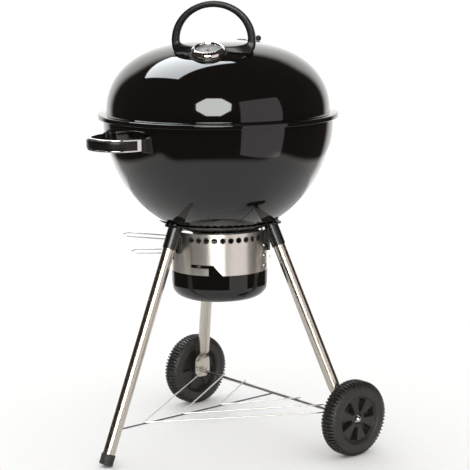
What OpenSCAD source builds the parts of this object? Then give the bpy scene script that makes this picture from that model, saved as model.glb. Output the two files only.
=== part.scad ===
// Kettle charcoal grill on three legs, with an air collar, an ash pot and two wheels.
// The kettle's axis is vertical. The single front leg and the side handle point to -Y,
// and the axle runs along X at the back. Azimuths turn about the kettle's axis,
// 0 at -Y and 90 at +X.

/* [Kettle] */
// Outside radius of the bowl at its rim
bowl_r = 289; // [275:1:295]
// Depth that the bowl's curve would have without its flat floor
bowl_depth = 293; // [285:1:300]
// Height of the bowl's rim above the ground, below its bead
bowl_top_z = 835; // [830:1:845]
// Sheet thickness of the bowl, the lid and the ash pot
sheet = 1.2; // [1:0.1:1.6]
// Radius of the flat floor of the bowl
floor_r = 90; // [88:1:94]
// Outside radius of the lid above its flange
lid_r = 280.7; // [270:0.1:282]
// Height of the lid's dome
lid_rise = 173.1; // [160:0.1:180]
// Outside radius of the lid's flange
flange_r = 302; // [300:1:306]

/* [Legs and wheels] */
// Distance of the leg axes from the kettle's axis at the top
leg_top_reach = 135.4; // [133:0.1:138]
// Height at which that distance is measured
leg_top_z = 579; // [575:1:583]
// Distance of the front foot from the kettle's axis
foot_reach = 363.8; // [350:0.1:368]
// Outside radius of the leg tubes
leg_r = 15.5; // [14:0.5:16]
// Radius of the wheels
wheel_r = 95.5; // [90:0.5:100]
// Distance of the axle behind the kettle's axis
axle_back = 166.4; // [160:0.1:172]
// Half the distance between the flattened leg tips
tip_x = 292; // [285:1:296]

/* [Ash system] */
// Outside radius of the air collar
collar_r = 126; // [125:0.5:128]
// Height of the collar's lower edge
collar_low_z = 454; // [448:1:456]
// Height of the collar's upper edge
collar_top_z = 558; // [556:1:560]
// Outside radius of the ash pot
pot_r = 123.5; // [121:0.5:124]
// Height of the pot's underside
pot_low_z = 378; // [374:1:395]

/* [Handles and thermometer] */
// Distance of the side handle's outer face from the kettle's axis
side_reach = 381; // [380:1:390]
// Height of the side handle's middle
side_z = 797; // [790:1:800]
// Azimuth of the lid handle and the thermometer
handle_az = 43.5; // [30:0.5:60]
// Distance of the lid handle's plane from the kettle's axis
handle_reach = 118; // [95:1:120]
// Height of the lid handle's top
handle_top_z = 1130; // [1120:1:1140]
// Distance of the thermometer from the kettle's axis
gauge_reach = 160; // [150:1:165]
// Azimuth of the lid vent
vent_az = 197; // [170:1:200]
// Distance of the lid vent from the kettle's axis
vent_reach = 150; // [146:1:154]

/* [Hidden] */
$fn = 96;

gap = 0.3;              // between pieces that move past each other
seat_gap = 0.1;         // between pieces that are fixed together
run = 0.05;             // radial clearance of a shaft that turns
kettle_y = (side_reach - flange_r) / 2;
curve_steps = 24;

// Superellipse exponents of the two pressed shapes
bowl_n = 2.11;
bowl_m = 2.04;
lid_n = 2.7;
lid_m = 2.1;
lid_base_z = bowl_top_z + 18.4;
bead_r = 3.5;
bead_x = bowl_r + 2.5;
bead_z = lid_base_z - 9;
floor_angle = acos(pow(floor_r / bowl_r, bowl_n / 2));
floor_low_z = bowl_top_z - bowl_depth * pow(sin(floor_angle), 2 / bowl_m);
floor_top_z = bowl_top_z - (bowl_depth - sheet) * pow(sin(floor_angle), 2 / bowl_m);

// Ash openings in the bowl's floor and the damper disc
ash_az = [60, 180, 300];
ash_r0 = 25;
ash_r1 = 80;
ash_half = 18;

// Levers, both at rest at this azimuth
lever_az = -52;
wire_r = 1.5;
upper_lever_z = 525;
lower_lever_z = 489;
lever_pair = 5;         // half the spacing of a lever's two wires

// Leg axes
leg_top = [0, -leg_top_reach, leg_top_z];
foot_point = [0, -foot_reach, 4.5];
rear_top = [leg_top_reach * sin(120), -leg_top_reach * cos(120), leg_top_z];
axle_z = wheel_r;
rear_tip = [tip_x, axle_back, axle_z];
socket_r = 17.5;
socket_low = 65;        // length of a socket along its leg, below the top point
axle_r = 4;
tip_thick = 4;

// Wheel, along the axle from the inboard side
wheel_in = 299;
wheel_out = 345;
hub_in = 297;
hub_out = 333;
nut_out = 345;

function leg_axis(k) = k == 0 ? [leg_top, foot_point]
    : k == 1 ? [rear_top, rear_tip]
    : [[-rear_top[0], rear_top[1], rear_top[2]], [-rear_tip[0], rear_tip[1], rear_tip[2]]];
function dome(r, h, n, m, a0, a1) = [for (i = [0:curve_steps])
    let (a = a0 + (a1 - a0) * i / curve_steps)
    [r * pow(cos(a), 2 / n), h * pow(sin(a), 2 / m)]];
function reversed(v) = [for (i = [len(v) - 1:-1:0]) v[i]];
function arc(cx, cy, r, a0, a1, n) = [for (i = [0:n])
    let (a = a0 + (a1 - a0) * i / n) [cx + r * cos(a), cy + r * sin(a)]];
function bowl_radius(z) = bowl_r * pow(1 - pow((bowl_top_z - z) / bowl_depth, bowl_m), 1 / bowl_n);
function lid_u(r) = pow(r / lid_r, lid_n);
function lid_z(r) = lid_base_z + lid_rise * pow(1 - lid_u(r), 1 / lid_m);
function lid_tilt(r) = atan(lid_rise / lid_m * pow(1 - lid_u(r), 1 / lid_m - 1)
    * lid_n * lid_u(r) / r);
// Half of a closed loop in plan, from +w round to -w, bulging to -y
function loop_points(w, d, n) = [for (i = [0:36])
    let (a = 5 * i)
    [w * sign(cos(a)) * pow(abs(cos(a)), 2 / n), -d * pow(sin(a), 2 / n)]];

// Placing helpers
module in_frame() { translate([0, kettle_y, 0]) children(); }
module at_az(a) { rotate([0, 0, a]) children(); }
// Local +Z runs from p to q
module along(p, q) {
    d = q - p;
    translate(p) rotate([0, acos(d[2] / norm(d)), atan2(d[1], d[0])]) children();
}
// Local +Z is the lid's normal and the origin is on its outer surface
module on_lid(a, r) {
    at_az(a) translate([0, -r, lid_z(r)]) rotate([lid_tilt(r), 0, 0]) children();
}
module both_sides() {
    children();
    mirror([1, 0, 0]) children();
}
module rod(p, q, r) { along(p, q) cylinder(h = norm(q - p), r = r); }
// A bent wire whose joints are balls a little larger than the wire
module wire(points, r) {
    for (i = [0:len(points) - 2]) rod(points[i], points[i + 1], r);
    for (i = [1:len(points) - 2]) translate(points[i]) sphere(r = 1.06 * r);
}
// A ring sector that points to -Y
module sector(r0, r1, half, h) {
    far = 2 * r1;
    intersection() {
        difference() {
            cylinder(h = h, r = r1);
            translate([0, 0, -1]) cylinder(h = h + 2, r = r0);
        }
        linear_extrude(height = h)
            polygon([[0, 0], [-far * sin(half), -far * cos(half)], [far * sin(half), -far * cos(half)]]);
    }
}
// A ring sector that runs from one azimuth to another
module sector_between(r0, r1, a0, a1, z0, z1) {
    translate([0, 0, z0]) at_az((a0 + a1) / 2) sector(r0, r1, (a1 - a0) / 2, z1 - z0);
}

// Solid bodies of the pressed shapes, used to cut the pieces that seat on them
module bowl_solid(grow) {
    rotate_extrude() polygon(concat(
        [[0, bowl_top_z + 40], [bowl_r + grow, bowl_top_z + 40]],
        [for (p = dome(bowl_r + grow, bowl_depth + grow, bowl_n, bowl_m, 0, floor_angle))
            [p[0], bowl_top_z - p[1]]],
        [[0, floor_low_z - grow]]));
}
module lid_solid(grow) {
    rotate_extrude() polygon(concat(
        [[0, lid_base_z - 1], [lid_r + grow, lid_base_z - 1]],
        [for (p = dome(lid_r + grow, lid_rise + grow, lid_n, lid_m, 0, 90))
            [p[0], lid_base_z + p[1]]]));
}

// ---- Kettle ----
module bowl_shell() {
    outer = [for (p = dome(bowl_r, bowl_depth, bowl_n, bowl_m, 0, floor_angle))
        [p[0], bowl_top_z - p[1]]];
    inner = [for (p = dome(bowl_r - sheet, bowl_depth - sheet, bowl_n, bowl_m, 0, floor_angle))
        [p[0], bowl_top_z - p[1]]];
    rotate_extrude() polygon(concat(
        [[bowl_r, bead_z]], outer, [[0, floor_low_z], [0, floor_top_z]],
        reversed(inner), [[bowl_r - sheet, bead_z]]));
}
module kettle_bowl() {
    color("#17161a") in_frame() difference() {
        union() {
            bowl_shell();
            rotate_extrude() translate([bead_x, bead_z]) circle(r = bead_r);
        }
        for (a = ash_az)
            translate([0, 0, floor_low_z - 2]) at_az(a) sector(ash_r0, ash_r1, ash_half, 6);
        translate([0, 0, floor_low_z - 2]) cylinder(h = 6, r = spindle_r + run);
        side_screw_places() cylinder(h = 30, r = side_screw_r + seat_gap);
    }
}
hoop_sheet = 2.5;
module support_hoop() {
    color("#1b1a1c") in_frame() difference() {
        union() {
            // a dished ring that hugs the bowl
            intersection() {
                bowl_solid(hoop_sheet);
                translate([0, 0, leg_top_z - 16]) cylinder(h = 16, r = 160);
            }
            for (k = [0:2])
                translate(point_at_z(leg_axis(k), leg_top_z - 4)) cylinder(h = 3, r = 28);
        }
        bowl_solid(seat_gap);
        for (k = [0:2])
            along(leg_axis(k)[0], leg_axis(k)[1])
                translate([0, 0, -40]) cylinder(h = 90, r = socket_r + seat_gap);
    }
}
function point_at_z(axis, z) = axis[0] + (axis[1] - axis[0])
    * (axis[0][2] - z) / (axis[0][2] - axis[1][2]);

// ---- Legs ----
leg_start = 8;          // the tube's upper end, measured down its axis from the top point
socket_screw_at = 40;
socket_screw_r = 2.5;
socket_head_r = 4.5;
module leg_socket(k) {
    color("#1c1c1e") in_frame() difference() {
        along(leg_axis(k)[0], leg_axis(k)[1])
            translate([0, 0, -45]) cylinder(h = 45 + socket_low, r = socket_r);
        along(leg_axis(k)[0], leg_axis(k)[1]) {
            translate([0, 0, leg_start - 1]) cylinder(h = 80, r = leg_r + seat_gap);
            screw_shank(0.05);
        }
        bowl_solid(seat_gap);
        translate([0, 0, collar_low_z]) cylinder(h = collar_top_z + 1 - collar_low_z, r = collar_r + seat_gap);
    }
}
module front_leg_socket() { leg_socket(0); }
module right_leg_socket() { leg_socket(1); }
module left_leg_socket() { leg_socket(2); }
module screw_shank(grow) {
    translate([0, 0, socket_screw_at]) rotate([0, 90, 0])
        translate([0, 0, leg_r - 4]) cylinder(h = 12, r = socket_screw_r + grow);
}
module socket_screws() {
    color("#c9c9c6") in_frame() for (k = [0:2])
        along(leg_axis(k)[0], leg_axis(k)[1]) translate([0, 0, socket_screw_at])
            rotate([0, 90, 0]) {
                translate([0, 0, leg_r - 4]) cylinder(h = 6 + seat_gap, r = socket_screw_r);
                translate([0, 0, socket_r + seat_gap]) cylinder(h = 2, r = socket_head_r);
            }
}
module tube_cut(k, length) {
    along(leg_axis(k)[0], leg_axis(k)[1]) {
        translate([0, 0, leg_start - 1]) cylinder(h = length + 2, r = leg_r - sheet);
        screw_shank(0.05);
    }
}
cap_len = 28;
cap_r = 17.5;
module front_leg() {
    length = norm(foot_point - leg_top);
    color("#c8c2b6") in_frame() difference() {
        along(leg_top, foot_point)
            translate([0, 0, leg_start]) cylinder(h = length - leg_start - 6, r = leg_r);
        tube_cut(0, length);
        rod(spine_front, spine_front + [0, 14, 0], spine_r + seat_gap);
    }
}
crimp_top = 64;         // the tube ends this far above the axle, along the leg
plug_rise = 64.5;       // height of the flattened end's hidden top above the axle
plug_half = 10.5;
// The flattened end of a rear leg: a taper from the tube to a thin six-sided tip
module flattened_end(k) {
    tip = leg_axis(k)[1];
    root = point_at_z(leg_axis(k), axle_z + plug_rise);
    half_t = tip_thick / 2;
    intersection() {
        translate([0, axle_back + 100, axle_z]) rotate([90, 0, 0]) linear_extrude(height = 200)
            polygon([[root[0] - plug_half, plug_rise], [root[0] + plug_half, plug_rise],
                [tip[0] + half_t, 12], [tip[0] + half_t, -16], [tip[0] - half_t, -16],
                [tip[0] - half_t, 12]]);
        translate([tip[0] - 60, axle_back, axle_z]) rotate([90, 0, 90]) linear_extrude(height = 120)
            polygon([[root[1] - axle_back - plug_half, plug_rise],
                [root[1] - axle_back + plug_half, plug_rise],
                [25, 12], [25, -4], [13, -16], [-13, -16], [-25, -4], [-25, 12]]);
    }
}
module rear_leg(k) {
    top = leg_axis(k)[0];
    tip = leg_axis(k)[1];
    length = norm(tip - top);
    in_frame() difference() {
        union() {
            difference() {
                along(top, tip) translate([0, 0, leg_start])
                    cylinder(h = length - crimp_top - leg_start, r = leg_r);
                tube_cut(k, length - crimp_top - leg_start - 14);
            }
            flattened_end(k);
        }
        translate([tip[0] - 15, axle_back, axle_z]) rotate([0, 90, 0])
            cylinder(h = 30, r = axle_r + seat_gap);
    }
}
module right_leg() { color("#c8c2b6") rear_leg(1); }
module left_leg() { color("#c8c2b6") rear_leg(2); }
module foot_cap() {
    length = norm(foot_point - leg_top);
    color("#202020") in_frame() difference() {
        along(leg_top, foot_point) translate([0, 0, length - cap_len]) cylinder(h = cap_len, r = cap_r);
        along(leg_top, foot_point)
            translate([0, 0, length - cap_len - 1]) cylinder(h = cap_len - 5, r = leg_r + seat_gap);
        translate([-50, -foot_reach - 50, -50]) cube([100, 100, 50]);
    }
}

// ---- Axle and wheels ----
module wheel_axle() {
    color("#b9b9b5") in_frame() translate([0, axle_back, axle_z]) rotate([0, 90, 0])
        cylinder(h = 2 * (nut_out - 4), r = axle_r, center = true);
}
module axle_washers() {
    color("#cfcfcc") in_frame() both_sides() {
        washer(tip_x + tip_thick / 2 + seat_gap, hub_in - gap);
        washer(hub_out + gap, hub_out + 1.8);
    }
}
module washer(x0, x1) {
    translate([x0, axle_back, axle_z]) rotate([0, 90, 0]) difference() {
        cylinder(h = x1 - x0, r = 9);
        translate([0, 0, -1]) cylinder(h = x1 - x0 + 2, r = axle_r + seat_gap);
    }
}
module axle_nuts() {
    color("#d5d5d2") in_frame() both_sides()
        translate([hub_out + 2, axle_back, axle_z]) rotate([0, 90, 0]) difference() {
            union() {
                cylinder(h = 6, r = 8, $fn = 6);
                intersection() {
                    translate([0, 0, 3]) sphere(r = 7);
                    translate([0, 0, 3]) cylinder(h = nut_out - hub_out - 5.2, r = 7);
                }
            }
            translate([0, 0, -1]) cylinder(h = nut_out - 4 - hub_out - 2 + 1.2, r = axle_r + seat_gap);
        }
}
module wheel() {
    translate([0, axle_back, axle_z]) rotate([0, 90, 0]) difference() {
        rotate_extrude() polygon(concat(
            [[axle_r + run, hub_in], [14, hub_in], [14, 312], [57, 312], [61, 303], [64, wheel_in]],
            [[84, wheel_in], [91, 301.5], [wheel_r - 1.2, 306], [wheel_r, 312]],
            [[wheel_r, 332], [wheel_r - 1.2, 338], [91, 342.5], [84, wheel_out]],
            [[62, wheel_out], [59, 343], [57, 330], [14, 330], [14, 341], [11.5, 341]],
            [[11.5, hub_out], [axle_r + run, hub_out]]));
        // six wedge pockets in each face of the web
        for (i = [0:5], x = [306, 323])
            translate([0, 0, x]) rotate([0, 0, 60 * i]) sector(19, 53, 15, 13);
    }
}
module right_wheel() { color("#2b2826") in_frame() wheel(); }
module left_wheel() { color("#2b2826") in_frame() mirror([1, 0, 0]) wheel(); }

// ---- Wire shelf ----
shelf_r = 1.75;
spine_r = 2;
spine_front = [0, -322, 86];
spine_back_z = axle_z - axle_r - spine_r - seat_gap;
function spine_z(y) = spine_front[2]
    + (spine_back_z - spine_front[2]) * (y - spine_front[1]) / (axle_back - spine_front[1]);
module shelf_spine() {
    color("#b5b5b5") in_frame()
        rod(spine_front, [0, axle_back + 10, spine_z(axle_back + 10)], spine_r);
}
// One V wire: it lies on the spine at its apex and on the axle at its ends
module shelf_wire(apex_y, end_x) {
    z0 = spine_z(apex_y) + spine_r + shelf_r + seat_gap;
    z1 = axle_z + axle_r + shelf_r + 0.8;
    turn = 9;
    color("#c4c4c4") in_frame() wire([
        [-end_x, axle_back + 9, z1], [-turn, apex_y + 8, z0], [-turn / 2, apex_y + 2, z0],
        [turn / 2, apex_y + 2, z0], [turn, apex_y + 8, z0], [end_x, axle_back + 9, z1]], shelf_r);
}
module outer_shelf_wire() { shelf_wire(-247, 284); }
module middle_shelf_wire() { shelf_wire(-128, 202); }
module inner_shelf_wire() { shelf_wire(-5, 114); }

// ---- Side handle ----
side_base = 276;
side_w = 80;
side_d = side_reach - side_base;
side_band = 13;
side_half_h = 15;
side_end_y = -294;
side_inset = 4;
inset_half_h = 11;
side_screw_r = 2.5;
side_screw_x = 77;
side_screw_len = 16;
side_head_r = 5;
// Each screw's head lies just inside the bowl's wall
module side_screw_places() {
    both_sides() for (z = [side_z - 10, side_z + 11])
        let (edge_x = side_screw_x + side_head_r, r = bowl_radius(z) - sheet)
        translate([side_screw_x, gap - sqrt(r * r - edge_x * edge_x), z])
            rotate([90, 0, 0]) children();
}
// A band that follows the loop, between two insets from its outer face
module side_loop(inset0, inset1, half_h, y_max) {
    intersection() {
        translate([0, -side_base, side_z]) linear_extrude(height = 2 * half_h, center = true)
            difference() {
                polygon(loop_points(side_w - inset0, side_d - inset0, 2.4));
                translate([0, 0.01]) polygon(loop_points(side_w - inset1, side_d - inset1, 2.4));
            }
        translate([-200, -500, side_z - 50]) cube([400, 500 + y_max, 100]);
    }
}
module side_handle_frame() {
    color("#d6d6d6") in_frame() difference() {
        side_loop(0, side_band, side_half_h, side_end_y - seat_gap);
        side_loop(-5, side_inset, inset_half_h, side_end_y - 12);
    }
}
module side_handle_grip() {
    color("#222120") in_frame()
        side_loop(0.6, side_inset - seat_gap, inset_half_h - seat_gap, side_end_y - 12 - seat_gap);
}
module side_handle_brackets() {
    color("#1a1a1b") in_frame() difference() {
        both_sides() translate([62, side_end_y, side_z - 22]) cube([29, 30, 44]);
        bowl_solid(seat_gap);
        side_screw_places() cylinder(h = side_screw_len + seat_gap, r = side_screw_r + seat_gap);
    }
}
module side_handle_screws() {
    color("#c9c9c6") in_frame() side_screw_places() {
        cylinder(h = side_screw_len, r = side_screw_r);
        translate([0, 0, -3]) cylinder(h = 3, r = side_head_r);
    }
}

// ---- Air collar ----
hole_r = 7.25;
hole_z = 542;
hole_pitch = 9.3;
holes_in_group = 10;
slot_low_z = 472;
slot_top_z = 480.5;
slot_az = 17;
slot_entry_az = 39;
module bayonet_slot() {
    // the level part that holds the pin
    sector_between(collar_r - 5, collar_r + 5, slot_az, slot_entry_az + 6, slot_low_z, slot_top_z);
    // the way in from the lower edge, with one slanted side
    at_az(slot_entry_az) rotate([90, 0, 0]) translate([0, 0, collar_r - 14])
        linear_extrude(height = 20) polygon([
            [0, collar_low_z - 1], [36, collar_low_z - 1], [12, slot_top_z], [0, slot_top_z]]);
}
module air_collar() {
    first = -(holes_in_group - 1) / 2;
    color("#c9c7c2") in_frame() difference() {
        translate([0, 0, collar_low_z]) difference() {
            cylinder(h = collar_top_z - collar_low_z, r = collar_r);
            translate([0, 0, -1]) cylinder(h = collar_top_z - collar_low_z + 2, r = collar_r - 1);
        }
        for (a = ash_az, i = [0:holes_in_group - 1])
            at_az(a + (first + i) * hole_pitch) translate([0, -collar_r + 6, hole_z])
                rotate([90, 0, 0]) cylinder(h = 12, r = hole_r);
        for (k = [0:2]) at_az(120 * k) bayonet_slot();
        // slots that the two levers swing in
        sector_between(collar_r - 5, collar_r + 5, lever_az - 43, lever_az + 4,
            upper_lever_z - lever_pair - 2.5, upper_lever_z + lever_pair + 2.3);
        sector_between(collar_r - 5, collar_r + 5, lever_az - 25, lever_az + 38,
            lower_lever_z - lever_pair - 2, lower_lever_z + lever_pair + 2.5);
        for (z = rivet_z)
            at_az(rivet_az) translate([0, -collar_r + 6, z]) rotate([90, 0, 0])
                cylinder(h = 12, r = 2 + seat_gap);
    }
}
rivet_az = 115;
rivet_z = [468, 493, 518];
module collar_rivets() {
    color("#d8d8d5") in_frame() for (z = rivet_z)
        at_az(rivet_az) translate([0, -collar_r + 2.5, z]) rotate([90, 0, 0]) {
            cylinder(h = 3, r = 2);
            translate([0, 0, 2.5 + seat_gap]) cylinder(h = 1.5, r = 4.2);
        }
}
module collar_brackets() {
    color("#1c1c1e") in_frame() difference() {
        for (k = [0:2])
            at_az(120 * k) translate([-6, -135, 505]) cube([12, 14, 50]);
        cylinder(h = 700, r = collar_r + seat_gap);
        for (k = [0:2])
            along(leg_axis(k)[0], leg_axis(k)[1]) {
                cylinder(h = 120, r = socket_r + seat_gap);
                // room for the screw that holds the socket
                translate([0, 0, socket_screw_at]) rotate([0, 90, 0])
                    cylinder(h = 40, r = socket_head_r + seat_gap);
            }
    }
}

// ---- Grates and their supports ----
grate_z = 812;
coal_z = 655;
module grate_supports() {
    color("#8e8e8c") in_frame() intersection() {
        union() for (k = [0:3]) at_az(45 + 90 * k) {
            translate([-10, -bowl_r, grate_z - 3]) cube([20, bowl_r - 262, 3]);
            translate([-10, -250, coal_z - 3]) cube([20, 250 - 204, 3]);
        }
        bowl_solid(-sheet - seat_gap);
    }
}
// A round grate: a ring, two bars across it and rods on top, all of square section
module round_grate(r, rod_t, pitch, count, bar_y) {
    difference() {
        cylinder(h = 2 * grate_ring_r, r = r + grate_ring_r);
        translate([0, 0, -1]) cylinder(h = 2 * grate_ring_r + 2, r = r - grate_ring_r);
    }
    bar_half = sqrt(r * r - bar_y * bar_y);
    for (s = [-1, 1])
        translate([-bar_half, s * bar_y - 2.5, 1]) cube([2 * bar_half, 5, 5]);
    for (i = [-count:count])
        let (x = i * pitch, y = sqrt(r * r - x * x))
            translate([x - rod_t / 2, -y, 2 * grate_ring_r - 1]) cube([rod_t, 2 * y, rod_t]);
}
cook_r = 268;
grate_ring_r = 3;
module cooking_grate() {
    color("#bdbdba") in_frame() translate([0, 0, grate_z + gap])
        round_grate(cook_r, 4, 20, 12, 110);
}
module grate_handles() {
    grip_y = 40;
    grip_x = sqrt(cook_r * cook_r - grip_y * grip_y);
    foot = 2 * grate_ring_r + seat_gap;
    color("#bdbdba") in_frame() translate([0, 0, grate_z + gap])
        both_sides() wire([[grip_x, -grip_y, foot], [grip_x, -grip_y, 31], [grip_x, grip_y, 31],
            [grip_x, grip_y, foot]], 2.5);
}
module charcoal_grate() {
    color("#8f8d8a") in_frame() translate([0, 0, coal_z + gap])
        round_grate(212, 5, 24, 8, 90);
}

// ---- Lid ----
lid_edge_z = bowl_top_z + 3;
boss_r = 42;
boss_top = 1;
vent_hole_r = 11;
vent_hole_at = 24;
stem_r = 3;
rivet_r = 3;
module kettle_lid() {
    outer = [for (p = dome(lid_r, lid_rise, lid_n, lid_m, 0, 90)) [p[0], lid_base_z + p[1]]];
    inner = [for (p = dome(lid_r - sheet, lid_rise - sheet, lid_n, lid_m, 0, 90))
        [p[0], lid_base_z + p[1]]];
    bend = 4;
    hollow_x = lid_r + bend;
    corner_x = flange_r - bend;
    corner_z = lid_base_z - 2 * bend;
    color("#17161a") in_frame() difference() {
        union() {
            difference() {
                rotate_extrude() polygon(concat(
                    reversed(outer), arc(hollow_x, lid_base_z, bend, 190, 260, 7),
                    arc(corner_x, corner_z, bend, 80, 0, 8),
                    [[flange_r, lid_edge_z], [flange_r - sheet, lid_edge_z]],
                    arc(corner_x, corner_z, bend - sheet, 0, 80, 8),
                    arc(hollow_x, lid_base_z, bend + sheet, 260, 190, 7), inner));
                on_lid(vent_az, vent_reach)
                    translate([0, 0, -20]) cylinder(h = 20 + boss_top - sheet, r = boss_r - sheet);
            }
            on_lid(vent_az, vent_reach) difference() {
                translate([0, 0, -5]) cylinder(h = 5 + boss_top, r = boss_r);
                translate([0, 0, -6]) cylinder(h = 6 + boss_top - sheet, r = boss_r - sheet);
            }
        }
        on_lid(vent_az, vent_reach) {
            vent_holes();
            translate([0, 0, -5]) cylinder(h = 10, r = rivet_r + seat_gap);
        }
        on_lid(handle_az, gauge_reach) translate([0, 0, -10]) cylinder(h = 20, r = stem_r + seat_gap);
        lid_screw_places() translate([0, 0, -5]) cylinder(h = 30, r = lid_screw_r + seat_gap);
    }
}
module vent_holes() {
    for (k = [0:2]) rotate([0, 0, 120 * k])
        translate([0, vent_hole_at, -5]) cylinder(h = 20, r = vent_hole_r);
}
module lid_vent_disc() {
    color("#b9b9b6") in_frame() on_lid(vent_az, vent_reach) difference() {
        translate([0, 0, boss_top + gap]) cylinder(h = sheet, r = 39);
        vent_holes();
        cylinder(h = 10, r = rivet_r + run);
        translate([0, -vent_knob_at, 0]) cylinder(h = 10, r = 2 + seat_gap);
    }
}
module lid_vent_rivet() {
    color("#cfcfcc") in_frame() on_lid(vent_az, vent_reach) {
        translate([0, 0, -2.5]) cylinder(h = 6, r = rivet_r);
        translate([0, 0, boss_top + 2 * gap + sheet]) cylinder(h = 2, r = 6);
        translate([0, 0, -2.5]) cylinder(h = 2.5 + boss_top - sheet - seat_gap, r = 6);
    }
}
vent_knob_at = 30;
vent_knob_h = 26;
module lid_vent_knob() {
    base = boss_top + gap + sheet + seat_gap;
    color("#1c1c1c") in_frame() on_lid(vent_az, vent_reach) translate([0, -vent_knob_at, 0]) {
        translate([0, 0, boss_top + gap + seat_gap]) cylinder(h = 4, r = 2);
        rotate_extrude() polygon(concat([[0, base], [7, base], [4.5, base + 8], [5, base + 14]],
            arc(0, base + vent_knob_h - 8, 8, -20, 90, 8)));
    }
}

// The lid handle stands in a vertical plane: local x across, local y up
handle_thick = 20;
handle_half_w = 102.5;
handle_shift = 8;       // the loop stands a little to one side of the thermometer
handle_mid_z = 1035;
grip_gap_half_w = 83.5;
grip_gap_mid_z = 1040;
grip_gap_top_z = handle_top_z - 15.5;
grip_gap_low_z = 1023;
hub_r = 46;
hub_top = -1;
lid_screw_x = 92;
lid_screw_r = 2.5;
module in_handle_plane() {
    at_az(handle_az) translate([handle_shift, -handle_reach, 0]) rotate([90, 0, 0]) children();
}
module lid_screw_places() {
    for (x = [handle_shift - lid_screw_x, handle_shift + lid_screw_x])
        at_az(handle_az) translate([x, -handle_reach, lid_z(norm([x, handle_reach])) - 9]) children();
}
module lid_handle() {
    color("#201f1f") in_frame() difference() {
        union() {
            in_handle_plane() linear_extrude(height = handle_thick, center = true) difference() {
                polygon(concat(
                    [for (a = [0:5:180]) [handle_half_w * cos(a),
                        handle_mid_z + (handle_top_z - handle_mid_z) * sin(a)]],
                    [[-handle_half_w + 5, lid_base_z + 120], [handle_half_w - 5, lid_base_z + 120]]));
                polygon(concat(
                    [for (a = [0:5:180]) [grip_gap_half_w * cos(a),
                        grip_gap_mid_z + (grip_gap_top_z - grip_gap_mid_z) * sin(a)]],
                    [for (a = [185:5:355]) [grip_gap_half_w * sign(cos(a)) * sqrt(abs(cos(a))),
                        grip_gap_mid_z - (grip_gap_mid_z - grip_gap_low_z) * sqrt(-sin(a))]]));
            }
            on_lid(handle_az, gauge_reach) translate([0, 0, -9]) cylinder(h = 9 + hub_top, r = hub_r);
        }
        lid_solid(seat_gap);
        on_lid(handle_az, gauge_reach) translate([0, 0, -10]) cylinder(h = 40, r = bezel_r + seat_gap);
        lid_screw_places() cylinder(h = 30, r = lid_screw_r + seat_gap);
    }
}
module lid_handle_screws() {
    color("#c9c9c6") in_frame() lid_screw_places() {
        cylinder(h = 26, r = lid_screw_r);
        translate([0, 0, -2.5]) cylinder(h = 2.5, r = 5);
    }
}

// ---- Thermometer, along the lid's normal ----
bezel_r = 42.5;
bezel_floor = 5;
bezel_top = 15;
glass_low = 9.8;
dial_r = 32.8;
module thermometer_bezel() {
    color("#d9d9d7") in_frame() difference() {
        on_lid(handle_az, gauge_reach) difference() {
            rotate_extrude() polygon([[0, -9], [bezel_r, -9], [bezel_r, 3],
                [41.5, 8], [38.5, 12.5], [36, 14.6], [34.5, bezel_top], [31.5, bezel_top],
                [30, 13.8], [30, 11.6], [33, 11.6], [33, bezel_floor], [0, bezel_floor]]);
            translate([0, 0, -10]) cylinder(h = 30, r = stem_r + seat_gap);
        }
        lid_solid(seat_gap);
    }
}
module thermometer_dial() {
    color("#b7babb") in_frame() on_lid(handle_az, gauge_reach) translate([0, 0, bezel_floor + seat_gap]) {
        cylinder(h = 0.9, r = dial_r);
        cylinder(h = 3.4, r = 1);
    }
}
module thermometer_needle() {
    color("#e0622c") in_frame() on_lid(handle_az, gauge_reach)
        translate([0, 0, bezel_floor + 1.3]) difference() {
            union() {
                cylinder(h = 1.6, r = 3);
                translate([0, 0, 0.4]) linear_extrude(height = 0.8)
                    polygon([[-1.2, 6], [-0.6, -23], [0.6, -23], [1.2, 6]]);
            }
            translate([0, 0, -1]) cylinder(h = 5, r = 1 + run);
        }
}
module thermometer_glass() {
    color([0.8, 0.9, 0.95, 0.35]) in_frame() on_lid(handle_az, gauge_reach)
        translate([0, 0, glass_low]) cylinder(h = 1.7, r = dial_r);
}
module thermometer_stem() {
    color("#c9c9c6") in_frame() on_lid(handle_az, gauge_reach)
        translate([0, 0, -60]) cylinder(h = 60 + bezel_floor, r = stem_r);
}
module thermometer_nut() {
    color("#c9c9c6") in_frame() on_lid(handle_az, gauge_reach) translate([0, 0, -6.8]) difference() {
        cylinder(h = 5, r = 8, $fn = 6);
        translate([0, 0, -1]) cylinder(h = 7, r = stem_r + seat_gap);
    }
}

// ---- Ash sweeper and damper ----
spindle_r = 5;
sleeve_r = 9;
sleeve_low_z = 514;
sleeve_top_z = floor_low_z - gap;
disc_low_z = sleeve_top_z - sheet;
boss_low_z = 478;
boss_high_z = 499;
module sweeper_spindle() {
    color("#b9b9b6") in_frame() {
        translate([0, 0, boss_low_z]) cylinder(h = boss_high_z - boss_low_z, r = sleeve_r);
        translate([0, 0, boss_low_z]) cylinder(h = floor_top_z + 22 - boss_low_z, r = spindle_r);
    }
}
module sweeper_blades() {
    low = floor_top_z + 0.8;
    color("#a3a3a0") in_frame() difference() {
        intersection() {
            union() {
                translate([0, 0, low]) cylinder(h = 8, r = 13);
                for (k = [0:2]) at_az(120 * k) translate([-1.5, -118, low]) cube([3, 112, 19]);
            }
            bowl_solid(-sheet - 0.8);
        }
        translate([0, 0, low - 1]) cylinder(h = 40, r = spindle_r + seat_gap);
        translate([0, 0, low + 8]) cylinder(h = 40, r = 10);
    }
}
module sweeper_nut() {
    color("#c9c9c6") in_frame() translate([0, 0, floor_top_z + 9]) difference() {
        cylinder(h = 6, r = 9, $fn = 6);
        translate([0, 0, -1]) cylinder(h = 8, r = spindle_r + seat_gap);
    }
}
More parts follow.
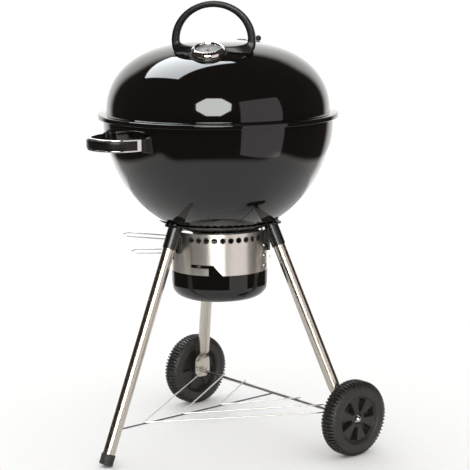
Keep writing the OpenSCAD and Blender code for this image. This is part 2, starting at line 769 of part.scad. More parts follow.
// A hairpin lever that points to -Y, its two wires one above the other
module hairpin(z, reach) {
    difference() {
        wire([[0, 0, z - lever_pair], [0, -reach + 14, z - lever_pair], [0, -reach, z],
            [0, -reach + 14, z + lever_pair], [0, 0, z + lever_pair]], wire_r);
        translate([0, 0, z - 20]) cylinder(h = 40, r = sleeve_r + seat_gap);
    }
}
module sweeper_lever() {
    color("#c4c4c4") in_frame() at_az(lever_az) hairpin(lower_lever_z, 234);
}
module damper_lever() {
    color("#c4c4c4") in_frame() at_az(lever_az) hairpin(upper_lever_z, 256);
}
module sleeve_clip() {
    color("#a8a8a5") in_frame() translate([0, 0, sleeve_low_z - gap - 1.5]) difference() {
        cylinder(h = 1.5, r = 8);
        translate([0, 0, -1]) cylinder(h = 4, r = spindle_r + seat_gap);
    }
}
module damper_sleeve() {
    color("#9f9f9c") in_frame() translate([0, 0, sleeve_low_z]) difference() {
        cylinder(h = sleeve_top_z - sleeve_low_z, r = sleeve_r);
        translate([0, 0, -1]) cylinder(h = 60, r = spindle_r + run);
    }
}
module damper_disc() {
    color("#a9a9a6") in_frame() translate([0, 0, disc_low_z]) difference() {
        cylinder(h = sheet, r = 86);
        translate([0, 0, -1]) cylinder(h = 4, r = sleeve_r + seat_gap);
        for (a = ash_az)
            translate([0, 0, -1]) at_az(a) sector(ash_r0, ash_r1, ash_half, 4);
    }
}

// ---- Ash pot ----
pot_top_z = 481;
pot_corner = 38;
pin_az = 27;
pin_z = 476;
pin_r = 3.5;
module ash_pot() {
    edge_x = pot_r - pot_corner;
    edge_z = pot_low_z + 3;
    color("#1c1a1b") in_frame() difference() {
        rotate_extrude() polygon(concat(
            [[0, pot_low_z], [edge_x / 2, pot_low_z + 0.8]],
            arc(edge_x, edge_z + pot_corner, pot_corner, -88, 0, 12),
            [[pot_r, pot_top_z], [pot_r - sheet, pot_top_z]],
            arc(edge_x, edge_z + pot_corner, pot_corner - sheet, 0, -88, 12),
            [[edge_x / 2, pot_low_z + 0.8 + sheet], [0, pot_low_z + sheet]]));
        for (k = [0:2]) at_az(pin_az + 120 * k) translate([0, -pot_r + 4, pin_z])
            rotate([90, 0, 0]) cylinder(h = 8, r = pin_r - 1 + seat_gap);
    }
}
module bayonet_pins() {
    color("#c9c9c6") in_frame() for (k = [0:2]) at_az(pin_az + 120 * k)
        translate([0, -pot_r, pin_z]) rotate([90, 0, 0]) {
            translate([0, 0, seat_gap]) cylinder(h = 6, r = pin_r);
            translate([0, 0, -3]) cylinder(h = 4, r = pin_r - 1);
        }
}

kettle_bowl();
support_hoop();
front_leg_socket();
right_leg_socket();
left_leg_socket();
front_leg();
right_leg();
left_leg();
foot_cap();
socket_screws();
wheel_axle();
axle_washers();
axle_nuts();
shelf_spine();
outer_shelf_wire();
middle_shelf_wire();
inner_shelf_wire();
side_handle_frame();
side_handle_grip();
side_handle_brackets();
side_handle_screws();
air_collar();
collar_brackets();
collar_rivets();
grate_supports();
kettle_lid();
lid_handle();
lid_handle_screws();
thermometer_bezel();
thermometer_dial();
thermometer_glass();
thermometer_stem();
thermometer_nut();
thermometer_needle();
lid_vent_disc();
lid_vent_knob();
lid_vent_rivet();
sweeper_spindle();
sweeper_blades();
sweeper_nut();
sweeper_lever();
sleeve_clip();
damper_disc();
damper_sleeve();
damper_lever();
ash_pot();
bayonet_pins();
left_wheel();
right_wheel();
cooking_grate();
grate_handles();
charcoal_grate();
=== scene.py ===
"""The looks of a kettle charcoal grill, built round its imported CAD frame. Metres, +Z up."""

import math

import bmesh
import bpy
from mathutils import Matrix, Vector


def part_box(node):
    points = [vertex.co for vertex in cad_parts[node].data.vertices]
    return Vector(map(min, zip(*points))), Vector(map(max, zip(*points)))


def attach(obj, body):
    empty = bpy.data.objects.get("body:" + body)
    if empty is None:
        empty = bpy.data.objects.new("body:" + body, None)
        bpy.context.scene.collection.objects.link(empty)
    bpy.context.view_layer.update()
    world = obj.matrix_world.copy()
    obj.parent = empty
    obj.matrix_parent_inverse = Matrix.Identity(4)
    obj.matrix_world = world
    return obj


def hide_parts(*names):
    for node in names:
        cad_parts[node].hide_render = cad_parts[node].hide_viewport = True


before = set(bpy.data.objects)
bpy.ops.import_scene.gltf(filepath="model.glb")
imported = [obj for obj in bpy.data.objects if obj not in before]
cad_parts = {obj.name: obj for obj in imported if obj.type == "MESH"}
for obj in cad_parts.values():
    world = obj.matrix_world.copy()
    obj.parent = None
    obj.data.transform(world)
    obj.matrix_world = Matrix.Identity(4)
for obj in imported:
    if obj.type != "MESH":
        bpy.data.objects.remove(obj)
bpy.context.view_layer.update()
scene = bpy.context.scene
mm = 0.001

# ---- Dimensions: places come from the frame, shapes from a few driving sizes ----


def low(node):
    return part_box(node)[0]


def high(node):
    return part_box(node)[1]


def middle(node):
    return (low(node) + high(node)) / 2


axis_y = middle("kettle_lid").y  # the kettle's own vertical axis
sheet = 1.2 * mm

bead_r = 3.5 * mm
bead_x = high("kettle_bowl").x - bead_r
bead_z = high("kettle_bowl").z - bead_r
bowl_r = bead_x - 2.5 * mm
bowl_top = bead_z - 9.4 * mm
bowl_depth = 293 * mm
bowl_floor = low("kettle_bowl").z
floor_r = 90 * mm
BOWL_POWERS = (2.11, 2.04)

flange_r = high("kettle_lid").x
lid_edge = low("kettle_lid").z
lid_base = lid_edge + 15.4 * mm
lid_rise = 173.1 * mm
lid_r = flange_r - 21.3 * mm
LID_POWERS = (2.7, 2.1)

handle_az = math.radians(43.5)
gauge_reach = 160 * mm
handle_reach = 118 * mm
handle_shift = 8 * mm  # the loop stands a little to one side of the thermometer
vent_az = math.radians(197)
vent_reach = 150 * mm

axle = middle("wheel_axle")
wheel_r = (high("right_wheel").z - low("right_wheel").z) / 2
pot_r = 123.5 * mm

# The ends of the front leg and of the right leg, on their own lines
FRONT_TOP = Vector((0, axis_y - 135.4 * mm, 579 * mm))
FRONT_FOOT = Vector((0, axis_y - 363.8 * mm, 4.5 * mm))
REAR_TOP = Vector((117.26 * mm, axis_y + 67.7 * mm, 579 * mm))
REAR_TIP = Vector((292 * mm, axle.y, axle.z))
LEFT = Matrix.Diagonal((-1, 1, 1, 1))
leg_r = 15.5 * mm


# ---- Outlines and places ----
def arc(cx, cy, r, start, end, steps):
    """Points of an arc, with its angles in degrees."""
    points = []
    for i in range(steps + 1):
        a = math.radians(start + (end - start) * i / steps)
        points.append((cx + r * math.cos(a), cy + r * math.sin(a)))
    return points


def signed_power(value, power):
    return math.copysign(abs(value) ** power, value)


def dome(r, h, powers, start, end, steps):
    """A quarter of a superellipse from one angle to another: (radius, height) pairs."""
    n, m = powers
    points = []
    for i in range(steps + 1):
        a = math.radians(start + (end - start) * i / steps)
        across, up = max(math.cos(a), 0.0), max(math.sin(a), 0.0)
        points.append((r * across ** (2 / n), h * up ** (2 / m)))
    return points


def lid_height(r):
    n, m = LID_POWERS
    return lid_base + lid_rise * (1 - (r / lid_r) ** n) ** (1 / m)


def lid_tilt(r):
    n, m = LID_POWERS
    share = (r / lid_r) ** n
    slope = lid_rise / m * (1 - share) ** (1 / m - 1) * n * share / r
    return math.atan(slope)


def bowl_radius(z):
    n, m = BOWL_POWERS
    depth = max(bowl_top - z, 0.0) / bowl_depth
    return bowl_r * (1 - depth**m) ** (1 / n)


def rounded(points, radii, steps=5, closed=False):
    """The same line with its corners rounded. radii is one radius or one for each point."""
    count = len(points)
    if not hasattr(radii, "__len__"):
        radii = [radii] * count
    out = []
    for i, corner in enumerate(points):
        p = Vector(corner)
        if not closed and i in (0, count - 1) or radii[i] <= 0:
            out.append(p)
            continue
        to_last = Vector(points[i - 1]) - p
        to_next = Vector(points[(i + 1) % count]) - p
        half = to_last.angle(to_next) / 2
        cut = min(radii[i] / math.tan(half), 0.45 * to_last.length, 0.45 * to_next.length)
        a, b = p + to_last.normalized() * cut, p + to_next.normalized() * cut
        for k in range(steps + 1):
            t = k / steps
            out.append(a * (1 - t) ** 2 + p * 2 * t * (1 - t) + b * t**2)
    return out


def disc_outline(r, steps):
    angles = [2 * math.pi * k / steps for k in range(steps)]
    return [(r * math.cos(a), r * math.sin(a)) for a in angles]


def box_outline(half_w, half_h, r, steps=4):
    corners = [(half_w, half_h), (-half_w, half_h), (-half_w, -half_h), (half_w, -half_h)]
    return rounded(corners, r, steps, closed=True)


KETTLE = Matrix.Translation((0, axis_y, 0))


def on_lid(az, reach):
    """Local +Z is the lid's normal, and the origin is on its outer surface."""
    place = Matrix.Translation((0, -reach, lid_height(reach)))
    return KETTLE @ Matrix.Rotation(az, 4, "Z") @ place @ Matrix.Rotation(lid_tilt(reach), 4, "X")


def along(start, end):
    """Local +Z runs from start to end."""
    turn = (end - start).to_track_quat("Z", "Y").to_matrix().to_4x4()
    return Matrix.Translation(start) @ turn


# ---- Meshes ----
def smooth(obj, sharp=32):
    bm = bmesh.new()
    bm.from_mesh(obj.data)
    bmesh.ops.remove_doubles(bm, verts=bm.verts, dist=1e-6)
    bmesh.ops.recalc_face_normals(bm, faces=bm.faces)
    bm.to_mesh(obj.data)
    bm.free()
    obj.data.shade_smooth()
    obj.data.set_sharp_from_angle(angle=math.radians(sharp))
    return obj


def mesh_object(name, verts, faces, sharp=32):
    mesh = bpy.data.meshes.new(name)
    mesh.from_pydata([tuple(v) for v in verts], [], faces)
    obj = bpy.data.objects.new(name, mesh)
    scene.collection.objects.link(obj)
    return smooth(obj, sharp)


def loft(name, rings, looped=False, sharp=32):
    """A skin over rings of points. A loft that isn't looped gets a face over each end."""
    size = len(rings[0])
    verts = [p for ring in rings for p in ring]
    faces = []
    for i in range(len(rings) if looped else len(rings) - 1):
        here, there = i * size, (i + 1) % len(rings) * size
        for k in range(size):
            n = (k + 1) % size
            faces.append((here + k, here + n, there + n, there + k))
    if not looped:
        faces.append(tuple(range(size)))
        faces.append(tuple(range((len(rings) - 1) * size, len(rings) * size)))
    return mesh_object(name, verts, faces, sharp)


def lathe(name, profile, place=KETTLE, steps=144, sharp=32):
    """A closed profile of (radius, height) pairs, turned about the local Z of a place."""
    rings = []
    for r, z in profile:
        rings.append([place @ Vector((x, y, z)) for x, y in disc_outline(max(r, 1e-9), steps)])
    size = len(rings)
    verts = [p for ring in rings for p in ring]
    faces = []
    for i in range(size):
        j = (i + 1) % size
        for k in range(steps):
            n = (k + 1) % steps
            faces.append((i * steps + k, i * steps + n, j * steps + n, j * steps + k))
    return mesh_object(name, verts, faces, sharp)


def sweep(name, path, section, looped=False, sharp=40):
    """A section carried along a path with no twist. The section is (across, up) pairs."""
    count = len(path)
    rings, side = [], None
    for i, p in enumerate(path):
        before = path[i - 1] if looped or i > 0 else p
        after = path[(i + 1) % count] if looped or i < count - 1 else p
        forward = (after - before).normalized()
        if side is None:
            side = forward.orthogonal().normalized()
        side = (side - forward * side.dot(forward)).normalized()
        up = forward.cross(side)
        rings.append([p + side * u + up * v for u, v in section])
    return loft(name, rings, looped, sharp)


def wire(name, points, r, bend=0.0, looped=False):
    path = rounded([Vector(p) for p in points], bend, 8, looped) if bend else [Vector(p) for p in points]
    return sweep(name, path, disc_outline(r, 14), looped)


def joined(name, parts):
    """The parts as one object."""
    bm = bmesh.new()
    for part in parts:
        bm.from_mesh(part.data)
    mesh = bpy.data.meshes.new(name)
    bm.to_mesh(mesh)
    bm.free()
    for part in parts:
        bpy.data.objects.remove(part)
    obj = bpy.data.objects.new(name, mesh)
    scene.collection.objects.link(obj)
    obj.data.set_sharp_from_angle(angle=math.radians(32))
    return obj


def modified(obj):
    """Applies the object's modifiers."""
    graph = bpy.context.evaluated_depsgraph_get()
    mesh = bpy.data.meshes.new_from_object(obj.evaluated_get(graph))
    obj.modifiers.clear()
    obj.data = mesh
    return obj


def cut(obj, cutters, sharp=32):
    """Takes the cutters' space out of an object."""
    for cutter in cutters:
        step = obj.modifiers.new("cut", "BOOLEAN")
        step.operation = "DIFFERENCE"
        step.solver = "EXACT"
        step.object = cutter
    bpy.context.view_layer.update()
    modified(obj)
    for cutter in cutters:
        bpy.data.objects.remove(cutter)
    obj.data.shade_smooth()
    obj.data.set_sharp_from_angle(angle=math.radians(sharp))
    return obj


def prism(name, outline, start, end, place):
    """An outline in the local XY plane, pulled from one height to another."""
    rings = [[place @ Vector((x, y, z)) for x, y in outline] for z in (start, end)]
    return loft(name, rings)


def eased(obj, width, steps=2, angle=35):
    """A fine rounding on an object's hard edges."""
    step = obj.modifiers.new("edges", "BEVEL")
    step.width = width
    step.segments = steps
    step.limit_method = "ANGLE"
    step.angle_limit = math.radians(angle)
    step.harden_normals = True
    return obj


# ---- Materials ----
def shader(name, colour, roughness, metallic=0.0):
    material = bpy.data.materials.new(name)
    material.use_nodes = True
    bsdf = material.node_tree.nodes["Principled BSDF"]
    bsdf.inputs["Base Color"].default_value = (*colour, 1)
    bsdf.inputs["Roughness"].default_value = roughness
    bsdf.inputs["Metallic"].default_value = metallic
    return material, bsdf


def node(material, kind, inputs=None, **settings):
    """A node in the tree of a material or a world, with its inputs linked or set."""
    made = material.node_tree.nodes.new(kind)
    for key, value in settings.items():
        setattr(made, key, value)
    for key, value in (inputs or {}).items():
        if hasattr(value, "is_output"):
            material.node_tree.links.new(value, made.inputs[key])
        else:
            made.inputs[key].default_value = value
    return made


def place_socket(material, direction=None, squeeze=0.97):
    """The point on the object. With a direction, what varies with it is drawn out that way."""
    point = node(material, "ShaderNodeTexCoord").outputs["Object"]
    if direction is None:
        return point
    share = node(material, "ShaderNodeVectorMath", {0: point, 1: direction}, operation="DOT_PRODUCT")
    scaled = node(material, "ShaderNodeVectorMath",
                  {0: tuple(squeeze * x for x in direction), "Scale": share.outputs["Value"]},
                  operation="SCALE")
    return node(material, "ShaderNodeVectorMath", {0: point, 1: scaled.outputs[0]},
                operation="SUBTRACT").outputs[0]


def ramp(material, value, start, end):
    """A 0 to 1 value spread between two numbers."""
    return node(material, "ShaderNodeMapRange",
                {"Value": value, "To Min": start, "To Max": end}).outputs["Result"]


def noise(material, point, scale, detail=4.0):
    return node(material, "ShaderNodeTexNoise",
                {"Vector": point, "Scale": scale, "Detail": detail}).outputs["Fac"]


def roughen(material, bsdf, value, start, end):
    material.node_tree.links.new(ramp(material, value, start, end), bsdf.inputs["Roughness"])


def bump(material, bsdf, height, depth, strength=1.0):
    made = node(material, "ShaderNodeBump", {"Height": height, "Distance": depth, "Strength": strength})
    material.node_tree.links.new(made.outputs["Normal"], bsdf.inputs["Normal"])


def tint(material, bsdf, value, dark, pale):
    """The base colour runs from dark to pale with a value."""
    mixed = node(material, "ShaderNodeMix", {"Factor": value}, data_type="RGBA")
    mixed.inputs[6].default_value = (*dark, 1)
    mixed.inputs[7].default_value = (*pale, 1)
    material.node_tree.links.new(mixed.outputs[2], bsdf.inputs["Base Color"])


def enamel():
    """Fired black enamel: deep gloss, with a faint orange peel and a little dust haze."""
    material, bsdf = shader("black_enamel", (0.0045, 0.004, 0.0037), 0.04)
    point = place_socket(material)
    roughen(material, bsdf, noise(material, point, 7), 0.02, 0.07)
    bump(material, bsdf, noise(material, point, 160, 2), 0.00002, 0.5)
    return material


def paint():
    """Black baked paint with a soft sheen and a fine texture."""
    material, bsdf = shader("black_paint", (0.007, 0.0062, 0.0058), 0.3)
    point = place_socket(material)
    roughen(material, bsdf, noise(material, point, 40), 0.2, 0.36)
    bump(material, bsdf, noise(material, point, 900, 3), 0.00005, 0.5)
    return material


def moulded(name, colour, pale, rough, grain=1100, shine=0.5):
    """Moulded plastic or rubber: matt, finely grained, a little worn in its tone."""
    material, bsdf = shader(name, colour, rough)
    bsdf.inputs["Specular IOR Level"].default_value = shine
    point = place_socket(material)
    tint(material, bsdf, noise(material, point, 26, 6), colour, pale)
    roughen(material, bsdf, noise(material, point, 60), rough - 0.08, rough + 0.08)
    bump(material, bsdf, noise(material, point, grain, 3), 0.00008, 0.6)
    return material


def brushed(name, colour, pale, rough, direction, anisotropy=0.0):
    """Stainless steel with fine lines drawn out along a direction."""
    material, bsdf = shader(name, colour, rough, 1.0)
    point = place_socket(material, direction, 0.985)
    fine = noise(material, point, 1500, 4)
    broad = noise(material, point, 60, 3)
    tint(material, bsdf, broad, colour, pale)
    roughen(material, bsdf, fine, rough - 0.07, rough + 0.09)
    bump(material, bsdf, fine, 0.00001, 0.5)
    bsdf.inputs["Anisotropic"].default_value = anisotropy
    return material


def collar_steel():
    """Rolled stainless sheet: lines run round it, so light spreads up and down."""
    material, bsdf = shader("collar_steel", (0.66, 0.63, 0.58), 0.25, 1.0)
    point = node(material, "ShaderNodeTexCoord").outputs["Object"]
    parts = node(material, "ShaderNodeSeparateXYZ", {0: point})
    height = node(material, "ShaderNodeCombineXYZ", {"Z": parts.outputs["Z"]}).outputs[0]
    lines = noise(material, height, 2600, 5)
    cloud = noise(material, point, 22, 4)
    tint(material, bsdf, cloud, (0.6, 0.57, 0.52), (0.74, 0.71, 0.67))
    roughen(material, bsdf, lines, 0.24, 0.42)
    bump(material, bsdf, lines, 0.00001, 0.4)
    bsdf.inputs["Anisotropic"].default_value = 0.85
    bsdf.inputs["Anisotropic Rotation"].default_value = 0.25
    round_z = node(material, "ShaderNodeTangent", direction_type="RADIAL", axis="Z")
    material.node_tree.links.new(round_z.outputs[0], bsdf.inputs["Tangent"])
    return material


def bright(name, colour, rough, scale=35):
    """Chrome or zinc plate with a faint haze."""
    material, bsdf = shader(name, colour, rough, 1.0)
    point = place_socket(material)
    roughen(material, bsdf, noise(material, point, scale), max(rough - 0.05, 0.02), rough + 0.06)
    bump(material, bsdf, noise(material, point, 400, 2), 0.00001, 0.4)
    return material


def dial_face():
    """Silver-grey printed dial, its tone varying a little at random."""
    material, bsdf = shader("dial_face", (0.42, 0.44, 0.45), 0.42, 0.35)
    point = place_socket(material)
    tint(material, bsdf, noise(material, point, 45, 3), (0.33, 0.35, 0.36), (0.47, 0.49, 0.5))
    bump(material, bsdf, noise(material, point, 1500, 2), 0.00002, 0.5)
    return material


def painted(name, colour, rough):
    material, bsdf = shader(name, colour, rough)
    point = place_socket(material)
    roughen(material, bsdf, noise(material, point, 90), rough - 0.1, rough + 0.1)
    return material


def lens():
    """Clear glass with a slightly smeared surface."""
    material, bsdf = shader("clear_lens", (0.97, 0.985, 0.98), 0.02)
    bsdf.inputs["Transmission Weight"].default_value = 1.0
    bsdf.inputs["IOR"].default_value = 1.46
    roughen(material, bsdf, noise(material, place_socket(material), 60), 0.0, 0.05)
    return material


def galvanised():
    """Zinc coated sheet with its spangle."""
    material, bsdf = shader("zinc_sheet", (0.5, 0.5, 0.49), 0.4, 1.0)
    point = place_socket(material)
    cells = node(material, "ShaderNodeTexVoronoi", {"Vector": point, "Scale": 190.0}).outputs["Distance"]
    tint(material, bsdf, cells, (0.4, 0.4, 0.39), (0.6, 0.6, 0.58))
    roughen(material, bsdf, noise(material, point, 200), 0.3, 0.48)
    return material


def leg_steel(side, start, end):
    return brushed(f"{side}_leg_steel", STEEL, STEEL_PALE, 0.2, tuple((end - start).normalized()))


STEEL, STEEL_PALE = (0.46, 0.425, 0.37), (0.58, 0.54, 0.48)
ENAMEL = enamel()
PAINT = paint()
COLLAR = collar_steel()
LEG_STEEL = {
    "front": leg_steel("front", FRONT_TOP, FRONT_FOOT),
    "right": leg_steel("right", REAR_TOP, REAR_TIP),
    "left": leg_steel("left", LEFT @ REAR_TOP, LEFT @ REAR_TIP),
}
TYRE = moulded("wheel_plastic", (0.014, 0.0122, 0.0115), (0.022, 0.0192, 0.0182), 0.5)
HANDLE = moulded("handle_plastic", (0.005, 0.0042, 0.0038), (0.009, 0.0076, 0.007), 0.32, shine=0.28)
RUBBER = moulded("foot_rubber", (0.012, 0.0118, 0.0115), (0.022, 0.021, 0.02), 0.62, 700)
CHROME = bright("chrome", (0.66, 0.645, 0.63), 0.08)
ZINC = bright("bright_zinc", (0.66, 0.66, 0.65), 0.22)
WIRE = bright("plated_wire", (0.5, 0.485, 0.47), 0.16, 120)
DARK_ROD = bright("dark_rod", (0.22, 0.21, 0.205), 0.22, 120)
GRATE = bright("grate_plate", (0.62, 0.61, 0.59), 0.26, 120)
COAL_GRATE = brushed("coal_grate_steel", (0.36, 0.35, 0.34), (0.48, 0.46, 0.44), 0.4, (0, 1, 0))
ALUMINIUM = brushed("aluminium_sheet", (0.55, 0.55, 0.54), (0.66, 0.66, 0.65), 0.34, (1, 0, 0))
SHEET_STEEL = galvanised()
DIAL = dial_face()
DIAL_INK = painted("dial_ink", (0.02, 0.02, 0.022), 0.5)
NEEDLE = painted("needle_paint", (0.72, 0.16, 0.035), 0.45)
LENS = lens()


def done(obj, body, slot, material, *replaced):
    """A finished piece: its material, the body it rides on and the nodes it stands for. The slot is not used.
    """
    obj.data.materials.clear()
    obj.data.materials.append(material)
    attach(obj, body)
    if replaced:
        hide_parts(*replaced)
    return obj


# ---- Bowl and lid ----
ASH_R = (25 * mm, 80 * mm)
ASH_HALF = 18


def ring_sector(name, radii, centre_deg, half_deg, start, end):
    inner, outer = radii
    middle_deg = centre_deg - 90
    outline = arc(0, 0, outer, middle_deg - half_deg, middle_deg + half_deg, 18)
    outline += arc(0, 0, inner, middle_deg + half_deg, middle_deg - half_deg, 8)
    return prism(name, outline, start, end, KETTLE)


def bowl_shell():
    """The bowl: rolled rim, deep wall and a flat floor with three openings for the ash."""
    flat_r = 60 * mm
    floor_angle = math.degrees(math.acos((floor_r / bowl_r) ** (BOWL_POWERS[0] / 2)))
    outer = dome(bowl_r, bowl_depth, BOWL_POWERS, 1.2, floor_angle, 60)
    inner = dome(bowl_r - sheet, bowl_depth - sheet, BOWL_POWERS, 1.2, floor_angle, 60)
    profile = [(bowl_r - sheet, bead_z)]
    profile += arc(bead_x, bead_z, bead_r, 168, -136, 18)
    profile += [(bowl_r, bowl_top)]
    profile += [(r, bowl_top - h) for r, h in outer]
    profile += [(flat_r, bowl_floor), (0, bowl_floor)]
    profile += [(0, bowl_floor + sheet), (flat_r, bowl_floor + sheet)]
    profile += [(r, bowl_top - h) for r, h in reversed(inner)]
    bowl = lathe("bowl_shell", profile, steps=180)
    cutters = [
        ring_sector(f"ash_cutter_{a}", ASH_R, a, ASH_HALF, bowl_floor - 5 * mm, bowl_floor + 8 * mm)
        for a in (60, 180, 300)
    ]
    cut(bowl, cutters)
    done(bowl, "root", "enamel", ENAMEL, "kettle_bowl")


def lid_profile():
    """The lid's section from the pole down the outside and back up the inside."""
    bend = 4 * mm
    outer = dome(lid_r, lid_rise, LID_POWERS, 90, 0, 64)
    inner = dome(lid_r - sheet, lid_rise - sheet, LID_POWERS, 0, 90, 64)
    wall, corner = lid_r + bend, flange_r - bend
    profile = [(r, lid_base + h) for r, h in outer]
    profile += arc(wall, lid_base, bend, 188, 264, 8)
    profile += arc(corner, lid_base - 2 * bend, bend, 84, 0, 8)
    profile += arc(flange_r - sheet * 0.8, lid_edge + sheet * 0.8, sheet * 0.8, 0, -180, 8)
    profile += arc(corner, lid_base - 2 * bend, bend - sheet, 0, 84, 8)
    profile += arc(wall, lid_base, bend + sheet, 264, 188, 8)
    profile += [(r, lid_base + h) for r, h in inner]
    return profile


VENT_HOLE_R = 11 * mm
VENT_HOLE_AT = 24 * mm
BOSS_R = 42 * mm


def vent_cutters(place, tag):
    cutters = []
    for k in range(3):
        turn = place @ Matrix.Rotation(math.radians(120 * k), 4, "Z")
        turn = turn @ Matrix.Translation((0, VENT_HOLE_AT, 0))
        outline = disc_outline(VENT_HOLE_R, 40)
        cutters.append(prism(f"vent_cutter_{tag}_{k}", outline, -12 * mm, 8 * mm, turn))
    return cutters


def lid_shell():
    """The lid with the raised boss and the three holes of its vent."""
    lid = lathe("lid_shell", lid_profile(), steps=180)
    place = on_lid(vent_az, vent_reach)
    cut(lid, vent_cutters(place, "lid"))
    rim = arc(BOSS_R - 2 * mm, -1 * mm, 2 * mm, 0, 80, 5)
    boss_profile = [(0, 1 * mm)] + list(reversed(rim)) + [(BOSS_R, -4 * mm), (0, -4 * mm)]
    boss = lathe("boss", boss_profile, place, 72)
    cut(boss, vent_cutters(place, "boss"))
    lid = joined("lid_shell_whole", [lid, boss])
    done(lid, "lid", "enamel", ENAMEL, "kettle_lid")


def ash_pot_shell():
    base, top = low("ash_pot").z, high("ash_pot").z
    corner = 38 * mm
    edge_x, edge_z = pot_r - corner, base + 3 * mm + corner
    lip = 1.1 * mm
    profile = [(0, base), (edge_x / 2, base + 0.8 * mm)]
    profile += arc(edge_x, edge_z, corner, -88, 0, 20)
    profile += arc(pot_r - lip, top - lip, lip, 0, 180, 6)
    profile += arc(edge_x, edge_z, corner - sheet, 0, -88, 20)
    profile += [(edge_x / 2, base + 0.8 * mm + sheet), (0, base + sheet)]
    done(lathe("ash_pot_shell", profile), "pot", "enamel", ENAMEL, "ash_pot")


# ---- Legs ----
def leg_ring(centre, direction, flat, half_thick, half_wide, steps=44):
    """A level ring of a leg: 0 flat is the tube cut level, 1 flat is the pressed plate."""
    across = direction.cross(Vector((0, 1, 0))).normalized()
    back = direction.cross(across).normalized()
    ring = []
    for k in range(steps):
        a = 2 * math.pi * k / steps
        q = (across * math.cos(a) + back * math.sin(a)) * leg_r
        tube = q - direction * (q.z / direction.z)
        plate = Vector((
            signed_power(math.cos(a), 0.35) * half_thick * math.copysign(1, across.x),
            signed_power(math.sin(a), 0.8) * half_wide * math.copysign(1, back.y), 0))
        ring.append(centre + tube.lerp(plate, flat))
    return ring


def rear_leg(side):
    """A tube whose lower end is pressed flat, and narrows to its tip below the axle."""
    top, tip = REAR_TOP, REAR_TIP
    direction = (tip - top).normalized()
    tube_top = top.z - 8 * mm
    press_top, press_low = axle.z + 66 * mm, axle.z + 24 * mm
    plate_thick, plate_wide, tip_wide = 2 * mm, 25 * mm, 13 * mm
    shoulder, bottom = axle.z - 4 * mm, low("right_leg").z
    heights = [tube_top - k * (tube_top - press_top) / 12 for k in range(12)]
    heights += [press_top - k * (press_top - press_low) / 14 for k in range(15)]
    heights += [axle.z + 12 * mm, shoulder, shoulder - 4 * mm, shoulder - 8 * mm, bottom]
    rings = []
    for z in heights:
        t = min(max((press_top - z) / (press_top - press_low), 0), 1)
        flat = t * t * (3 - 2 * t)
        on_axis = top + direction * ((z - top.z) / direction.z)
        plate_centre = Vector((tip.x, axle.y, z))
        wide = plate_wide
        if z < shoulder:
            wide += (tip_wide - plate_wide) * (shoulder - z) / (shoulder - bottom)
        centre = on_axis.lerp(plate_centre, flat)
        rings.append(leg_ring(centre, direction, flat, plate_thick, wide))
    if side == "left":
        rings = [[LEFT @ p for p in ring] for ring in rings]
    leg = loft(f"{side}_leg_tube", rings, sharp=38)
    done(leg, "root", "stainless", LEG_STEEL[side], f"{side}_leg")


def foot_cap():
    """A ribbed rubber cap, cut level where it meets the ground."""
    length, r, corner, lip, bore = 28 * mm, 17.5 * mm, 2.5 * mm, 1.2 * mm, leg_r + 0.15 * mm
    place = along(FRONT_FOOT, FRONT_TOP)
    profile = [(0, 0), (r - corner, 0)]
    profile += arc(r - corner, corner, corner, -80, 0, 5)
    for z in (8 * mm, 13 * mm):
        profile += [(r, z), (r - 0.7 * mm, z + 0.6 * mm), (r - 0.7 * mm, z + 1.4 * mm), (r, z + 2 * mm)]
    profile += arc(r - lip, length - lip, lip, 0, 90, 5)
    profile += [(bore, length), (bore, length - 4 * mm), (0, length - 4 * mm)]
    cap = lathe("foot_cap_moulding", profile, place, 64)
    bm = bmesh.new()
    bm.from_mesh(cap.data)
    everything = bm.verts[:] + bm.edges[:] + bm.faces[:]
    cutting = bmesh.ops.bisect_plane(
        bm, geom=everything, plane_co=(0, 0, 0), plane_no=(0, 0, -1), clear_outer=True)
    edges = [e for e in cutting["geom_cut"] if isinstance(e, bmesh.types.BMEdge)]
    bmesh.ops.contextual_create(bm, geom=edges)
    bm.to_mesh(cap.data)
    bm.free()
    smooth(cap)
    done(cap, "root", "rubber", RUBBER, "foot_cap")


# ---- Wheels ----
WINDOWS = 6
WINDOW_TURN = 43
LUGS = 64
WHEEL_IN, WHEEL_OUT = 299 * mm, 345 * mm  # the tyre's two faces, out from the middle of the axle


def window_outline(grow):
    """A wedge with rounded corners, narrow at the hub."""
    inner, outer = 20 * mm - grow, 52.5 * mm + grow
    corners = []
    for r, half in ((inner, 12.5), (outer, 15.0)):
        a = math.radians(half)
        corners.append((r, math.sin(a) * r + grow))
    (r0, w0), (r1, w1) = corners
    return rounded([(r0, -w0), (r1, -w1), (r1 + 1.6 * mm, 0), (r1, w1), (r0, w0)],
                   [2.5 * mm, 4 * mm, 60 * mm, 4 * mm, 2.5 * mm], 4, closed=True)


def pocket(name, place, face, floor):
    """A pocket whose walls lean in towards its floor."""
    rings = []
    for z, grow in ((face + 3 * mm, 1.2 * mm), (face, 0.8 * mm), (floor, -1.6 * mm)):
        rings.append([place @ Vector((x, y, z)) for x, y in window_outline(grow)])
    return loft(name, rings)


